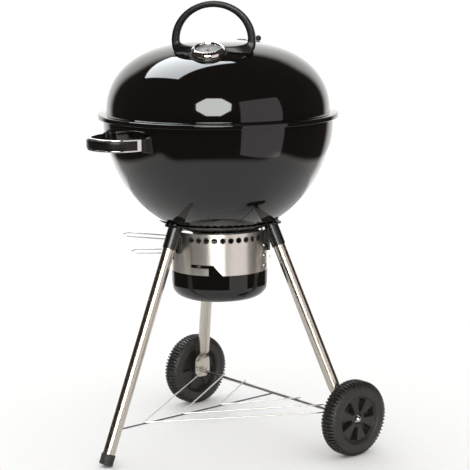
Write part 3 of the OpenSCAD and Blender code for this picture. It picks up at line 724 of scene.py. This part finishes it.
def wheel_body(side, place):
    """Tyre, rim, web and hub as one moulding. Local +Z points outwards along the axle."""
    bore, hub_in, web_in, web_out = 4.1 * mm, 297 * mm, 313 * mm, 333 * mm
    base, ridge = wheel_r - 6 * mm, wheel_r - 2 * mm
    lip, shoulder, shoulder_at = 3 * mm, 11 * mm, wheel_r - 18 * mm
    profile = [(bore, hub_in), (13 * mm, hub_in), (14 * mm, hub_in + 1 * mm), (14.5 * mm, web_in)]
    profile += [(56 * mm, 314 * mm), (59 * mm, 306 * mm), (61.5 * mm, 301.5 * mm)]
    profile += arc(65 * mm, WHEEL_IN + lip, lip, 200, 270, 5)
    profile += arc(shoulder_at, WHEEL_IN + shoulder, shoulder, -88, -8, 10)
    profile += [(base, web_in), (base + 0.8 * mm, 320.6 * mm), (ridge, 321 * mm),
                (ridge, 323 * mm), (base + 0.8 * mm, 323.4 * mm), (base, 331 * mm)]
    profile += arc(shoulder_at, WHEEL_OUT - shoulder, shoulder, 8, 88, 10)
    profile += arc(65.5 * mm, WHEEL_OUT - lip, lip, 90, 165, 5)
    profile += [(61 * mm, 342 * mm), (59.2 * mm, 341.4 * mm), (58 * mm, 338 * mm), (57 * mm, 337.2 * mm),
                (55.5 * mm, 338.2 * mm), (18 * mm, 339.4 * mm), (16.2 * mm, 340 * mm)]
    profile += arc(14.2 * mm, 339.4 * mm, 1.6 * mm, 10, 90, 4)
    profile += [(12.4 * mm, 341 * mm), (11.6 * mm, 340.2 * mm), (11.5 * mm, web_out), (bore, web_out)]
    body = lathe(f"{side}_wheel_moulding", profile, place, 120, sharp=28)
    cutters = []
    flip = Matrix.Translation((0, 0, 650 * mm)) @ Matrix.Rotation(math.pi, 4, "X")
    for k in range(WINDOWS):
        turn = place @ Matrix.Rotation(math.radians(360 / WINDOWS * k + WINDOW_TURN), 4, "Z")
        cutters.append(pocket(f"{side}_pocket_out_{k}", turn, 340 * mm, 321.5 * mm))
        flipped = turn @ flip
        cutters.append(pocket(f"{side}_pocket_in_{k}", flipped, 337 * mm, 330.5 * mm))
    return cut(body, cutters, 28)


def wheel_lugs(side, place):
    """Two rows of tread blocks."""
    crown, root = wheel_r, wheel_r - 8 * mm
    row = [(324.5 * mm, root), (324.5 * mm, crown - 0.4 * mm), (333 * mm, crown),
           (338.5 * mm, crown - 2.2 * mm), (342.3 * mm, crown - 7 * mm), (344.2 * mm, crown - 13.5 * mm),
           (341 * mm, crown - 15 * mm), (336 * mm, root - 3 * mm)]
    centre = (WHEEL_IN + WHEEL_OUT) / 2
    half_top, half_base = 1.7 * mm, 2.4 * mm
    verts, faces = [], []
    for rowside in (1, -1):
        for k in range(LUGS):
            turn = Matrix.Rotation(2 * math.pi * k / LUGS, 4, "Z")
            start = len(verts)
            for s in (-1, 1):
                for z, r in row:
                    share = min(max((r - root) / (crown - root), 0), 1)
                    half = half_base + (half_top - half_base) * share
                    local = Vector((r, s * half, centre + rowside * (z - centre)))
                    verts.append(place @ turn @ local)
            n = len(row)
            faces.append(tuple(range(start, start + n)))
            faces.append(tuple(range(start + n, start + 2 * n)))
            for i in range(n):
                j = (i + 1) % n
                faces.append((start + i, start + j, start + n + j, start + n + i))
    return eased(mesh_object(f"{side}_wheel_tread", verts, faces, 25), 0.4 * mm)


def wheel(side):
    """The right wheel's place turns local +Z to +X, the left one's to -X."""
    quarter = math.pi / 2 if side == "right" else -math.pi / 2
    place = Matrix.Translation((0, axle.y, axle.z)) @ Matrix.Rotation(quarter, 4, "Y")
    body = f"wheel_{side}"
    done(wheel_body(side, place), body, "wheel_plastic", TYRE, f"{side}_wheel")
    done(wheel_lugs(side, place), body, "wheel_plastic", TYRE, f"{side}_wheel")


# ---- Wire work ----
shelf_r = 1.75 * mm
spine_r = 2 * mm
SPINE_FRONT = Vector((0, axis_y - 322 * mm, 86 * mm))
SHELF_ROWS = (("outer", -247, 284), ("middle", -128, 202), ("inner", -5, 114))


def spine_height(y):
    """The spine's height. It runs straight from the front leg to just below the axle."""
    back_z = axle.z - 6.1 * mm
    return SPINE_FRONT.z + (back_z - SPINE_FRONT.z) * (y - SPINE_FRONT.y) / (axle.y - SPINE_FRONT.y)


def shelf():
    """A spine and the V wires on it. A row holds a name, its apex and its half width."""
    back = Vector((0, axle.y + 10 * mm, spine_height(axle.y + 10 * mm)))
    spine = wire("shelf_spine_wire", [SPINE_FRONT, back], spine_r)
    done(spine, "root", "plated_wire", DARK_ROD, "shelf_spine")
    for name, apex, end_x in SHELF_ROWS:
        apex_y = axis_y + apex * mm
        low_z = spine_height(apex_y) + spine_r + shelf_r
        high_z = axle.z + 4 * mm + shelf_r + 0.8 * mm
        end_y = axle.y + 9 * mm
        points = [(-end_x * mm, end_y, high_z), (0, apex_y - 2 * mm, low_z), (end_x * mm, end_y, high_z)]
        v = wire(f"{name}_shelf_rod", points, shelf_r, 7 * mm)
        done(v, "root", "plated_wire", WIRE, f"{name}_shelf_wire")


LEVER_AZ = math.radians(-52)


def lever(name, body, node_name, height, reach, rise):
    """A pointed hairpin of wire, its two runs one above the other and its outer part bent up or down."""
    place = KETTLE @ Matrix.Rotation(LEVER_AZ, 4, "Z")
    pair, r, start, bend = 5 * mm, 1.5 * mm, 8.5 * mm, 140 * mm
    points = []
    for out, up in ((start, -pair), (bend, -pair), (reach - 14 * mm, -pair), (reach, 0),
                    (reach - 14 * mm, pair), (bend, pair), (start, pair)):
        lift = rise * max(out - bend, 0) / (reach - bend)
        points.append(place @ Vector((0, -out, height + up + lift)))
    done(wire(name, points, r, 3 * mm), body, "plated_wire", WIRE, node_name)


def grate(name, body, node_name, slot, material, ring_r, rod_r, pitch, count, bar_y):
    """A wire ring with two bars across it and rods on top."""
    base = low(node_name).z
    ring_wire, bar_r, bar_z = 3 * mm, 2.5 * mm, base + 3.4 * mm
    ring = [(x, axis_y + y, base + ring_wire) for x, y in disc_outline(ring_r, 96)]
    parts = [wire("ring", ring, ring_wire, looped=True)]
    for y in (-bar_y, bar_y):
        x = math.sqrt(ring_r**2 - y**2)
        parts.append(wire("bar", [(-x, axis_y + y, bar_z), (x, axis_y + y, bar_z)], bar_r))
    top = base + 2 * ring_wire + rod_r - 0.8 * mm
    for i in range(-count, count + 1):
        x = i * pitch
        y = math.sqrt(ring_r**2 - x**2)
        parts.append(wire("rod", [(x, axis_y - y, top), (x, axis_y + y, top)], rod_r))
    done(joined(name, parts), body, slot, material, node_name)


def grate_handles():
    lo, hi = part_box("grate_handles")
    r = 2.5 * mm
    parts = []
    for side in (-1, 1):
        x, base, top = side * (hi.x - r), lo.z, hi.z - r
        front, back = lo.y + r, hi.y - r
        points = [(x, front, base), (x, front, top), (x, back, top), (x, back, base)]
        parts.append(wire("grip", points, r, 11 * mm))
    done(joined("grate_lift_handles", parts), "cook_grate", "plated_wire", GRATE, "grate_handles")


# ---- Side handle ----
side_z = middle("side_handle_frame").z
SIDE_W, SIDE_BAND = 80 * mm, 13 * mm
SIDE_BASE = 276 * mm
SIDE_D = axis_y - SIDE_BASE - low("side_handle_frame").y
SIDE_END = 294 * mm
END_BLOCK = 12 * mm


def side_point(inset, angle):
    """A point of the loop in plan, at an inset from its outer face."""
    power = 2 / 2.4
    w, d = SIDE_W - inset, SIDE_D - inset
    x = w * signed_power(math.cos(angle), power)
    y = axis_y - SIDE_BASE - d * max(math.sin(angle), 0) ** power
    return Vector((x, y, side_z))


def side_angle(beyond):
    """The angle at which the loop's outer face is that far out from its end."""
    share = (SIDE_END - SIDE_BASE + beyond) / SIDE_D
    return math.asin(share ** 1.2)


def side_band(name, outline, start, end, steps, sharp=32):
    """A section carried round the loop. The outline is (inset, height) pairs."""
    rings = []
    for k in range(steps + 1):
        a = start + (end - start) * k / steps
        outer, inner = side_point(0, a), side_point(SIDE_BAND, a)
        inward = (inner - outer) / SIDE_BAND
        rings.append([outer + inward * u + Vector((0, 0, v)) for u, v in outline])
    return loft(name, rings, sharp=sharp)


def side_handle():
    """A bright channel with solid ends, and the black inset in its groove."""
    half, groove, deep = 15 * mm, 11 * mm, 4 * mm
    channel = rounded(
        [(SIDE_BAND, -half), (0, -half), (0, -groove), (deep, -groove),
         (deep, groove), (0, groove), (0, half), (SIDE_BAND, half)],
        [4.5 * mm, 2.6 * mm, 1 * mm, 0.6 * mm, 0.6 * mm, 1 * mm, 2.6 * mm, 4.5 * mm], 5, closed=True)
    solid = rounded([(SIDE_BAND, -half), (0, -half), (0, half), (SIDE_BAND, half)],
                    [4.5 * mm, 2.6 * mm, 2.6 * mm, 4.5 * mm], 5, closed=True)
    end, block = side_angle(0), side_angle(END_BLOCK)
    parts = [
        side_band("channel", channel, block, math.pi - block, 72),
        side_band("right_end", solid, end, block, 4),
        side_band("left_end", solid, math.pi - block, math.pi - end, 4),
    ]
    done(joined("side_handle_channel", parts), "root", "handle_chrome", CHROME, "side_handle_frame")
    inset = rounded([(deep - 0.2 * mm, -10.7 * mm), (0.9 * mm, -10.7 * mm), (0.35 * mm, -5 * mm),
                     (0.35 * mm, 5 * mm), (0.9 * mm, 10.7 * mm), (deep - 0.2 * mm, 10.7 * mm)],
                    [0.3 * mm, 1.2 * mm, 3 * mm, 3 * mm, 1.2 * mm, 0.3 * mm], 4, closed=True)
    grip = side_band("side_handle_inset", inset, block + 0.004, math.pi - block - 0.004, 72)
    done(grip, "root", "handle_plastic", HANDLE, "side_handle_grip")


def side_brackets():
    """Two tapered blocks that fit the bowl's wall at one end and hold the loop at the other."""
    parts = []
    for side in (1, -1):
        rings = []
        stations = ((0.0, 7.6, 15.4), (0.02, 8.6, 16.4), (0.2, 9.2, 17.2), (0.42, 9.6, 17.8),
                    (0.6, 11, 19), (0.8, 13.6, 21.2), (0.92, 14.4, 21.9), (1.0, 14.5, 22))
        for t, half_w, half_h in stations:
            centre_x = (73 + (76.5 - 73) * t) * mm
            ring = []
            for u, v in box_outline(half_w * mm, half_h * mm, min(half_w * 0.55, 6) * mm, 5):
                x, z = centre_x + u, side_z + v
                wall = axis_y - math.sqrt(bowl_radius(z) ** 2 - x**2) + 0.5 * mm
                end = axis_y - SIDE_END - 1 * mm
                ring.append(Vector((side * x, end + (wall - end) * t, z)))
            rings.append(ring)
        parts.append(loft("bracket", rings, sharp=50))
    done(joined("side_handle_mounts", parts), "root", "handle_plastic", HANDLE, "side_handle_brackets")


# ---- Lid handle ----
HANDLE_DEEP = 20 * mm
bezel_r = 42.5 * mm
hub_bore = bezel_r + 0.2 * mm
lid_gap = 0.1 * mm


def handle_point(w, z, deep):
    """A point of the handle: across, up, and out from its own plane."""
    local = Vector((w + handle_shift, -handle_reach - deep, z))
    return KETTLE @ Matrix.Rotation(handle_az, 4, "Z") @ local


def handle_section(angle):
    """Outer and inner edge of the loop at an angle, as (across, up)."""
    c, s = math.cos(angle), math.sin(angle)
    top = high("lid_handle").z
    outer_mid, outer_w = 1035 * mm, 102.5 * mm
    gap_mid, gap_w, gap_top, gap_low = 1037 * mm, 83.5 * mm, top - 15.5 * mm, 1021.5 * mm
    if s >= 0:
        outer = Vector((outer_w * c, outer_mid + (top - outer_mid) * s))
        inner = Vector((gap_w * c, gap_mid + (gap_top - gap_mid) * s))
    else:
        outer = Vector((outer_w * signed_power(c, 0.28) - 5 * mm * abs(s) * math.copysign(1, c),
                        outer_mid - 40 * mm * (-s) ** 0.6))
        inner = Vector((gap_w * signed_power(c, 0.62), gap_mid - (gap_mid - gap_low) * (-s) ** 0.62))
    return outer, inner


def lid_solid(name):
    """The space that the lid fills, and a hair more, as a cutter."""
    r_out, base = lid_r + lid_gap, lid_base - 9 * mm
    points = dome(r_out, lid_rise + lid_gap, LID_POWERS, 90, 0, 64)
    profile = [(r, lid_base + h) for r, h in points] + [(r_out, base), (0, base)]
    return lathe(name, profile, steps=180)


def lid_handle():
    """A D loop whose low bar sweeps forward, and a ring round the thermometer, both cut to the lid."""
    rings = []
    steps, sweep_out = 144, 18 * mm
    for k in range(steps):
        angle = 2 * math.pi * (k + 0.5) / steps
        outer, inner = handle_section(angle)
        forward = sweep_out * max(-math.sin(angle), 0) ** 2
        centre = (outer + inner) / 2
        along_web = (outer - inner) / 2
        half = along_web.length
        unit = along_web.normalized()
        ring = []
        for u, v in box_outline(half, HANDLE_DEEP / 2, 5.5 * mm, 4):
            p = centre + unit * u
            ring.append(handle_point(p.x, p.y, v + forward))
        rings.append(ring)
    loop = loft("handle_loop", rings, looped=True, sharp=40)
    hub_place = on_lid(handle_az, gauge_reach)
    hub_profile = [(hub_bore, -11 * mm), (49.5 * mm, -11 * mm), (47.4 * mm, -5 * mm)]
    hub_profile += arc(45.2 * mm, -2 * mm, 1.4 * mm, 10, 90, 4)
    hub_profile += [(hub_bore, -0.8 * mm)]
    hub = lathe("handle_hub", hub_profile, hub_place, 96)
    hub_room = prism("hub_room", disc_outline(hub_bore, 72), -20 * mm, 60 * mm, hub_place)
    cut(loop, [lid_solid("lid_cutter_a"), hub_room], 40)
    cut(hub, [lid_solid("lid_cutter_b")])
    done(joined("lid_handle_moulding", [loop, hub]), "lid", "handle_plastic", HANDLE, "lid_handle")


# ---- Thermometer ----
def thermometer():
    """A chrome housing down to the lid, a dial with plain strokes, and a domed glass."""
    place = on_lid(handle_az, gauge_reach)
    floor_h, face, glass_low = 5 * mm, 5.1 * mm, 9.8 * mm
    profile = [(3.1 * mm, -11 * mm), (bezel_r, -11 * mm), (bezel_r, 1 * mm), (41.9 * mm, 1.6 * mm),
               (42 * mm, 2.4 * mm), (42.4 * mm, 3.2 * mm), (42.2 * mm, 5.4 * mm), (41.4 * mm, 8 * mm),
               (40 * mm, 10.4 * mm), (38.2 * mm, 12.2 * mm), (36.2 * mm, 13.4 * mm)]
    profile += arc(33.6 * mm, 12.6 * mm, 2.4 * mm, 60, 160, 7)
    profile += [(30.2 * mm, 11.6 * mm), (33 * mm, 11.6 * mm), (33 * mm, floor_h), (3.1 * mm, floor_h)]
    bezel = lathe("thermometer_housing", profile, place, 120, sharp=35)
    cut(bezel, [lid_solid("lid_cutter_c")], 35)
    done(bezel, "lid", "bright_fasteners", CHROME, "thermometer_bezel")
    dial_profile = [(0, face), (32.6 * mm, face), (32.6 * mm, face + 0.7 * mm), (30.5 * mm, face + 0.9 * mm),
                    (2 * mm, face + 0.9 * mm), (1 * mm, face + 3.2 * mm), (0, face + 3.3 * mm)]
    dial = lathe("thermometer_face", dial_profile, place, 96)
    done(dial, "lid", "dial", DIAL, "thermometer_dial")
    marks = []
    divisions, span = 40, 270
    for k in range(divisions + 1):
        inner, half = (23 * mm, 0.45 * mm) if k % 5 == 0 else (25.5 * mm, 0.25 * mm)
        turn = place @ Matrix.Rotation(math.radians(span * k / divisions - span / 2), 4, "Z")
        outline = [(inner, -half), (28.5 * mm, -half), (28.5 * mm, half), (inner, half)]
        marks.append(prism("mark", outline, face + 0.85 * mm, face + 1.0 * mm, turn))
    scale = joined("thermometer_scale", marks)
    done(scale, "lid", "dial", DIAL_INK)
    glass_profile = [(0, glass_low), (32.2 * mm, glass_low), (32.7 * mm, glass_low + 0.4 * mm),
                     (32.7 * mm, glass_low + 1.3 * mm)]
    glass_profile += [(32.7 * mm * math.cos(a), glass_low + 1.3 * mm + 0.4 * mm * math.sin(a))
                      for a in [math.radians(15 * k) for k in range(1, 7)]]
    glass = lathe("thermometer_lens", glass_profile, place, 96)
    done(glass, "lid", "clear_glass", LENS, "thermometer_glass")


def vent_knob():
    """A waisted knob with a round top, near the vent disc's edge."""
    place = on_lid(vent_az, vent_reach) @ Matrix.Translation((0, -30 * mm, 0))
    base, tall = 2.6 * mm, 26 * mm
    profile = [(0, base), (7 * mm, base), (7.2 * mm, base + 1 * mm), (5.4 * mm, base + 4 * mm),
               (4.6 * mm, base + 8 * mm), (5.2 * mm, base + 13 * mm)]
    profile += arc(0, base + tall - 8 * mm, 8 * mm, -28, 90, 12)
    knob = lathe("vent_knob_moulding", profile, place, 48)
    done(knob, "lid_vent", "handle_plastic", HANDLE, "lid_vent_knob")


# ---- CAD nodes that stay ----
KEPT = {
    "front_leg": LEG_STEEL["front"], "air_collar": COLLAR, "support_hoop": PAINT,
    "front_leg_socket": PAINT, "right_leg_socket": PAINT, "left_leg_socket": PAINT, "collar_brackets": PAINT,
    "socket_screws": ZINC, "side_handle_screws": ZINC, "lid_handle_screws": ZINC, "collar_rivets": CHROME,
    "wheel_axle": DARK_ROD, "axle_washers": ZINC, "axle_nuts": CHROME, "grate_supports": SHEET_STEEL,
    "thermometer_stem": ZINC, "thermometer_nut": ZINC, "thermometer_needle": NEEDLE,
    "lid_vent_disc": ALUMINIUM, "lid_vent_rivet": ALUMINIUM,
    "sweeper_spindle": SHEET_STEEL, "sweeper_blades": SHEET_STEEL, "sweeper_nut": ZINC, "sleeve_clip": ZINC,
    "damper_disc": SHEET_STEEL, "damper_sleeve": SHEET_STEEL, "bayonet_pins": ZINC,
}


def dress_kept_nodes():
    for name, material in KEPT.items():
        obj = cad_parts[name]
        if not obj.material_slots:
            obj.data.materials.append(material)
        for place in obj.material_slots:
            place.material = material


# ---- Studio ----
# Where the camera stands and looks: metres, degrees, and the lens in millimetres
CAMERA = {
    "distance": 4.299, "height": 1.3062, "azimuth": 51.62, "pitch": 10.17, "yaw": 0.53, "roll": -0.48,
    "lens": 131.9,
}


def level_direction(azimuth):
    a = math.radians(azimuth)
    return Vector((math.sin(a), -math.cos(a), 0))


def direction_to(azimuth, elevation):
    e = math.radians(elevation)
    return level_direction(azimuth) * math.cos(e) + Vector((0, 0, math.sin(e)))


def add_camera():
    data = bpy.data.cameras.new("camera")
    data.lens, data.sensor_width = CAMERA["lens"], 36
    data.clip_start, data.clip_end = 0.1, 100
    camera = bpy.data.objects.new("camera", data)
    scene.collection.objects.link(camera)
    place = level_direction(CAMERA["azimuth"]) * CAMERA["distance"] + Vector((0, axis_y, CAMERA["height"]))
    heading = math.radians(CAMERA["azimuth"] - CAMERA["yaw"])
    turn = Matrix.Rotation(heading, 4, "Z") @ Matrix.Rotation(math.radians(90 - CAMERA["pitch"]), 4, "X")
    turn = turn @ Matrix.Rotation(math.radians(CAMERA["roll"]), 4, "Z")
    camera.matrix_world = Matrix.Translation(place) @ turn
    scene.camera = camera


# A panel of light far away: the way it lies, its centre and half sizes as tangents, how far its
# corners are cut off, how soft its edge is, its strength and its colour
PANELS = [
    {"facing": Vector((0, 0, 1)), "side": Vector((1, 0, 0)), "centre": (-0.67, -0.03), "half": (0.41, 0.43),
     "strength": 10.0, "colour": (0.93, 0.97, 1.0)},
    {"facing": direction_to(47, 20), "side": level_direction(137), "centre": (0, 0), "half": (0.31, 0.29),
     "corners": 0.42, "strength": 13.0, "colour": (0.98, 1.0, 0.95)},
    {"facing": direction_to(-128, 0), "side": level_direction(-38), "centre": (0, -0.1), "half": (0.85, 0.95),
     "soft": 0.22, "strength": 1.5, "colour": (1.0, 1.0, 0.99)},
    {"facing": Vector((0, 0, -1)), "side": level_direction(-128), "centre": (2.05, 0), "half": (3.05, 2.0),
     "soft": 0.2, "strength": 1.05, "colour": (1.0, 0.98, 0.96)},
    {"facing": direction_to(97, 0), "side": level_direction(187), "centre": (0, 0), "half": (0.42, 0.57),
     "strength": 1.0, "colour": (1.0, 0.94, 0.95)},
]
AMBIENT = (0.055, 0.042, 0.036)  # the room between the panels, in reflections
DOME = (1.1, 1.09, 1.08)  # the even light that matt surfaces get
PAPER = (1.03, 1.03, 1.03)  # what the camera sees behind everything


def world_math(world, operation, *values):
    return node(world, "ShaderNodeMath", dict(enumerate(values)), operation=operation).outputs[0]


def world_dot(world, ray, direction):
    dot = node(world, "ShaderNodeVectorMath", {0: ray, 1: tuple(direction)}, operation="DOT_PRODUCT")
    return dot.outputs["Value"]


def edge_mask(world, distance, limit, soft):
    """1 inside the limit and 0 outside it, with a soft edge."""
    ends = {"Value": distance, "From Min": limit - soft, "From Max": limit + soft, "To Min": 1, "To Max": 0}
    return node(world, "ShaderNodeMapRange", ends, interpolation_type="SMOOTHSTEP").outputs["Result"]


def panel_mask(world, ray, panel):
    """1 where a ray meets the panel and 0 elsewhere."""
    up = panel["facing"].cross(panel["side"]).normalized()
    ahead = world_dot(world, ray, panel["facing"])
    safe = world_math(world, "MAXIMUM", ahead, 0.001)
    offsets = []
    for direction, centre in zip((panel["side"], up), panel["centre"]):
        slope = world_math(world, "DIVIDE", world_dot(world, ray, direction), safe)
        offsets.append(world_math(world, "ABSOLUTE", world_math(world, "SUBTRACT", slope, centre)))
    soft = panel.get("soft", 0.012)
    masks = [edge_mask(world, offset, half, soft) for offset, half in zip(offsets, panel["half"])]
    masks.append(world_math(world, "GREATER_THAN", ahead, 0.0))
    if "corners" in panel:
        masks.append(edge_mask(world, world_math(world, "ADD", *offsets), panel["corners"], soft))
    mask = masks[0]
    for other in masks[1:]:
        mask = world_math(world, "MULTIPLY", mask, other)
    return mask


def background(world, colour, strength=1.0):
    return node(world, "ShaderNodeBackground", {"Color": (*colour, 1), "Strength": strength}).outputs[0]


def add_world():
    """A dark room with soft panels in reflections, an even dome for matt surfaces, white paper behind."""
    world = bpy.data.worlds.new("studio")
    world.use_nodes = True
    scene.world = world
    world.node_tree.nodes.clear()
    ray = node(world, "ShaderNodeTexCoord").outputs["Generated"]
    light = background(world, AMBIENT)
    for panel in PANELS:
        strength = world_math(world, "MULTIPLY", panel_mask(world, ray, panel), panel["strength"])
        lit = background(world, panel["colour"], strength)
        light = node(world, "ShaderNodeAddShader", {0: light, 1: lit}).outputs[0]
    path = node(world, "ShaderNodeLightPath")
    for flag, colour in (("Is Diffuse Ray", DOME), ("Is Camera Ray", PAPER)):
        mix = {0: path.outputs[flag], 1: light, 2: background(world, colour)}
        light = node(world, "ShaderNodeMixShader", mix).outputs[0]
    world.cycles.sampling_method = "NONE"
    node(world, "ShaderNodeOutputWorld", {"Surface": light})


def add_floor():
    """A round white table that fades into the paper at its edge."""
    radius, fade = 1.62, 1.3
    steps, drop = 96, 0.2 * mm
    verts = [(radius * x, axis_y + radius * y, -drop) for x, y in disc_outline(1, steps)]
    floor = mesh_object("floor", verts, [tuple(range(steps))])
    material = bpy.data.materials.new("floor_paper")
    material.use_nodes = True
    tree = material.node_tree
    bsdf = tree.nodes["Principled BSDF"]
    bsdf.inputs["Base Color"].default_value = (0.93, 0.93, 0.93, 1)
    bsdf.inputs["Roughness"].default_value = 0.75
    point = node(material, "ShaderNodeTexCoord").outputs["Object"]
    moved = node(material, "ShaderNodeVectorMath", {0: point, 1: (0, axis_y, 0)}, operation="SUBTRACT")
    away = node(material, "ShaderNodeVectorMath", {0: moved.outputs[0]}, operation="LENGTH")
    edge = node(material, "ShaderNodeMapRange", {"Value": away.outputs["Value"], "From Min": fade,
                                                "From Max": radius, "To Min": 1.0, "To Max": 0.0},
                interpolation_type="SMOOTHSTEP")
    clear = node(material, "ShaderNodeBsdfTransparent")
    mixed = node(material, "ShaderNodeMixShader",
                 {0: edge.outputs["Result"], 1: clear.outputs[0], 2: bsdf.outputs[0]})
    tree.links.new(mixed.outputs[0], tree.nodes["Material Output"].inputs["Surface"])
    floor.data.materials.append(material)


def studio():
    scene.view_settings.view_transform = "Standard"
    add_camera()
    add_world()
    add_floor()


studio()
dress_kept_nodes()
bowl_shell()
lid_shell()
ash_pot_shell()
for side_name in ("right", "left"):
    rear_leg(side_name)
    wheel(side_name)
foot_cap()
shelf()
lever("damper_lever_wire", "damper", "damper_lever", 525 * mm, 256 * mm, 5 * mm)
lever("sweeper_lever_wire", "sweeper", "sweeper_lever", 489 * mm, 234 * mm, -3 * mm)
grate("cooking_grate_rods", "cook_grate", "cooking_grate", "plated_wire", GRATE,
      268 * mm, 2 * mm, 20 * mm, 12, 110 * mm)
grate("charcoal_grate_rods", "coal_grate", "charcoal_grate", "zinc_steel", COAL_GRATE,
      212 * mm, 2.5 * mm, 24 * mm, 8, 90 * mm)
grate_handles()
side_handle()
side_brackets()
lid_handle()
thermometer()
vent_knob()
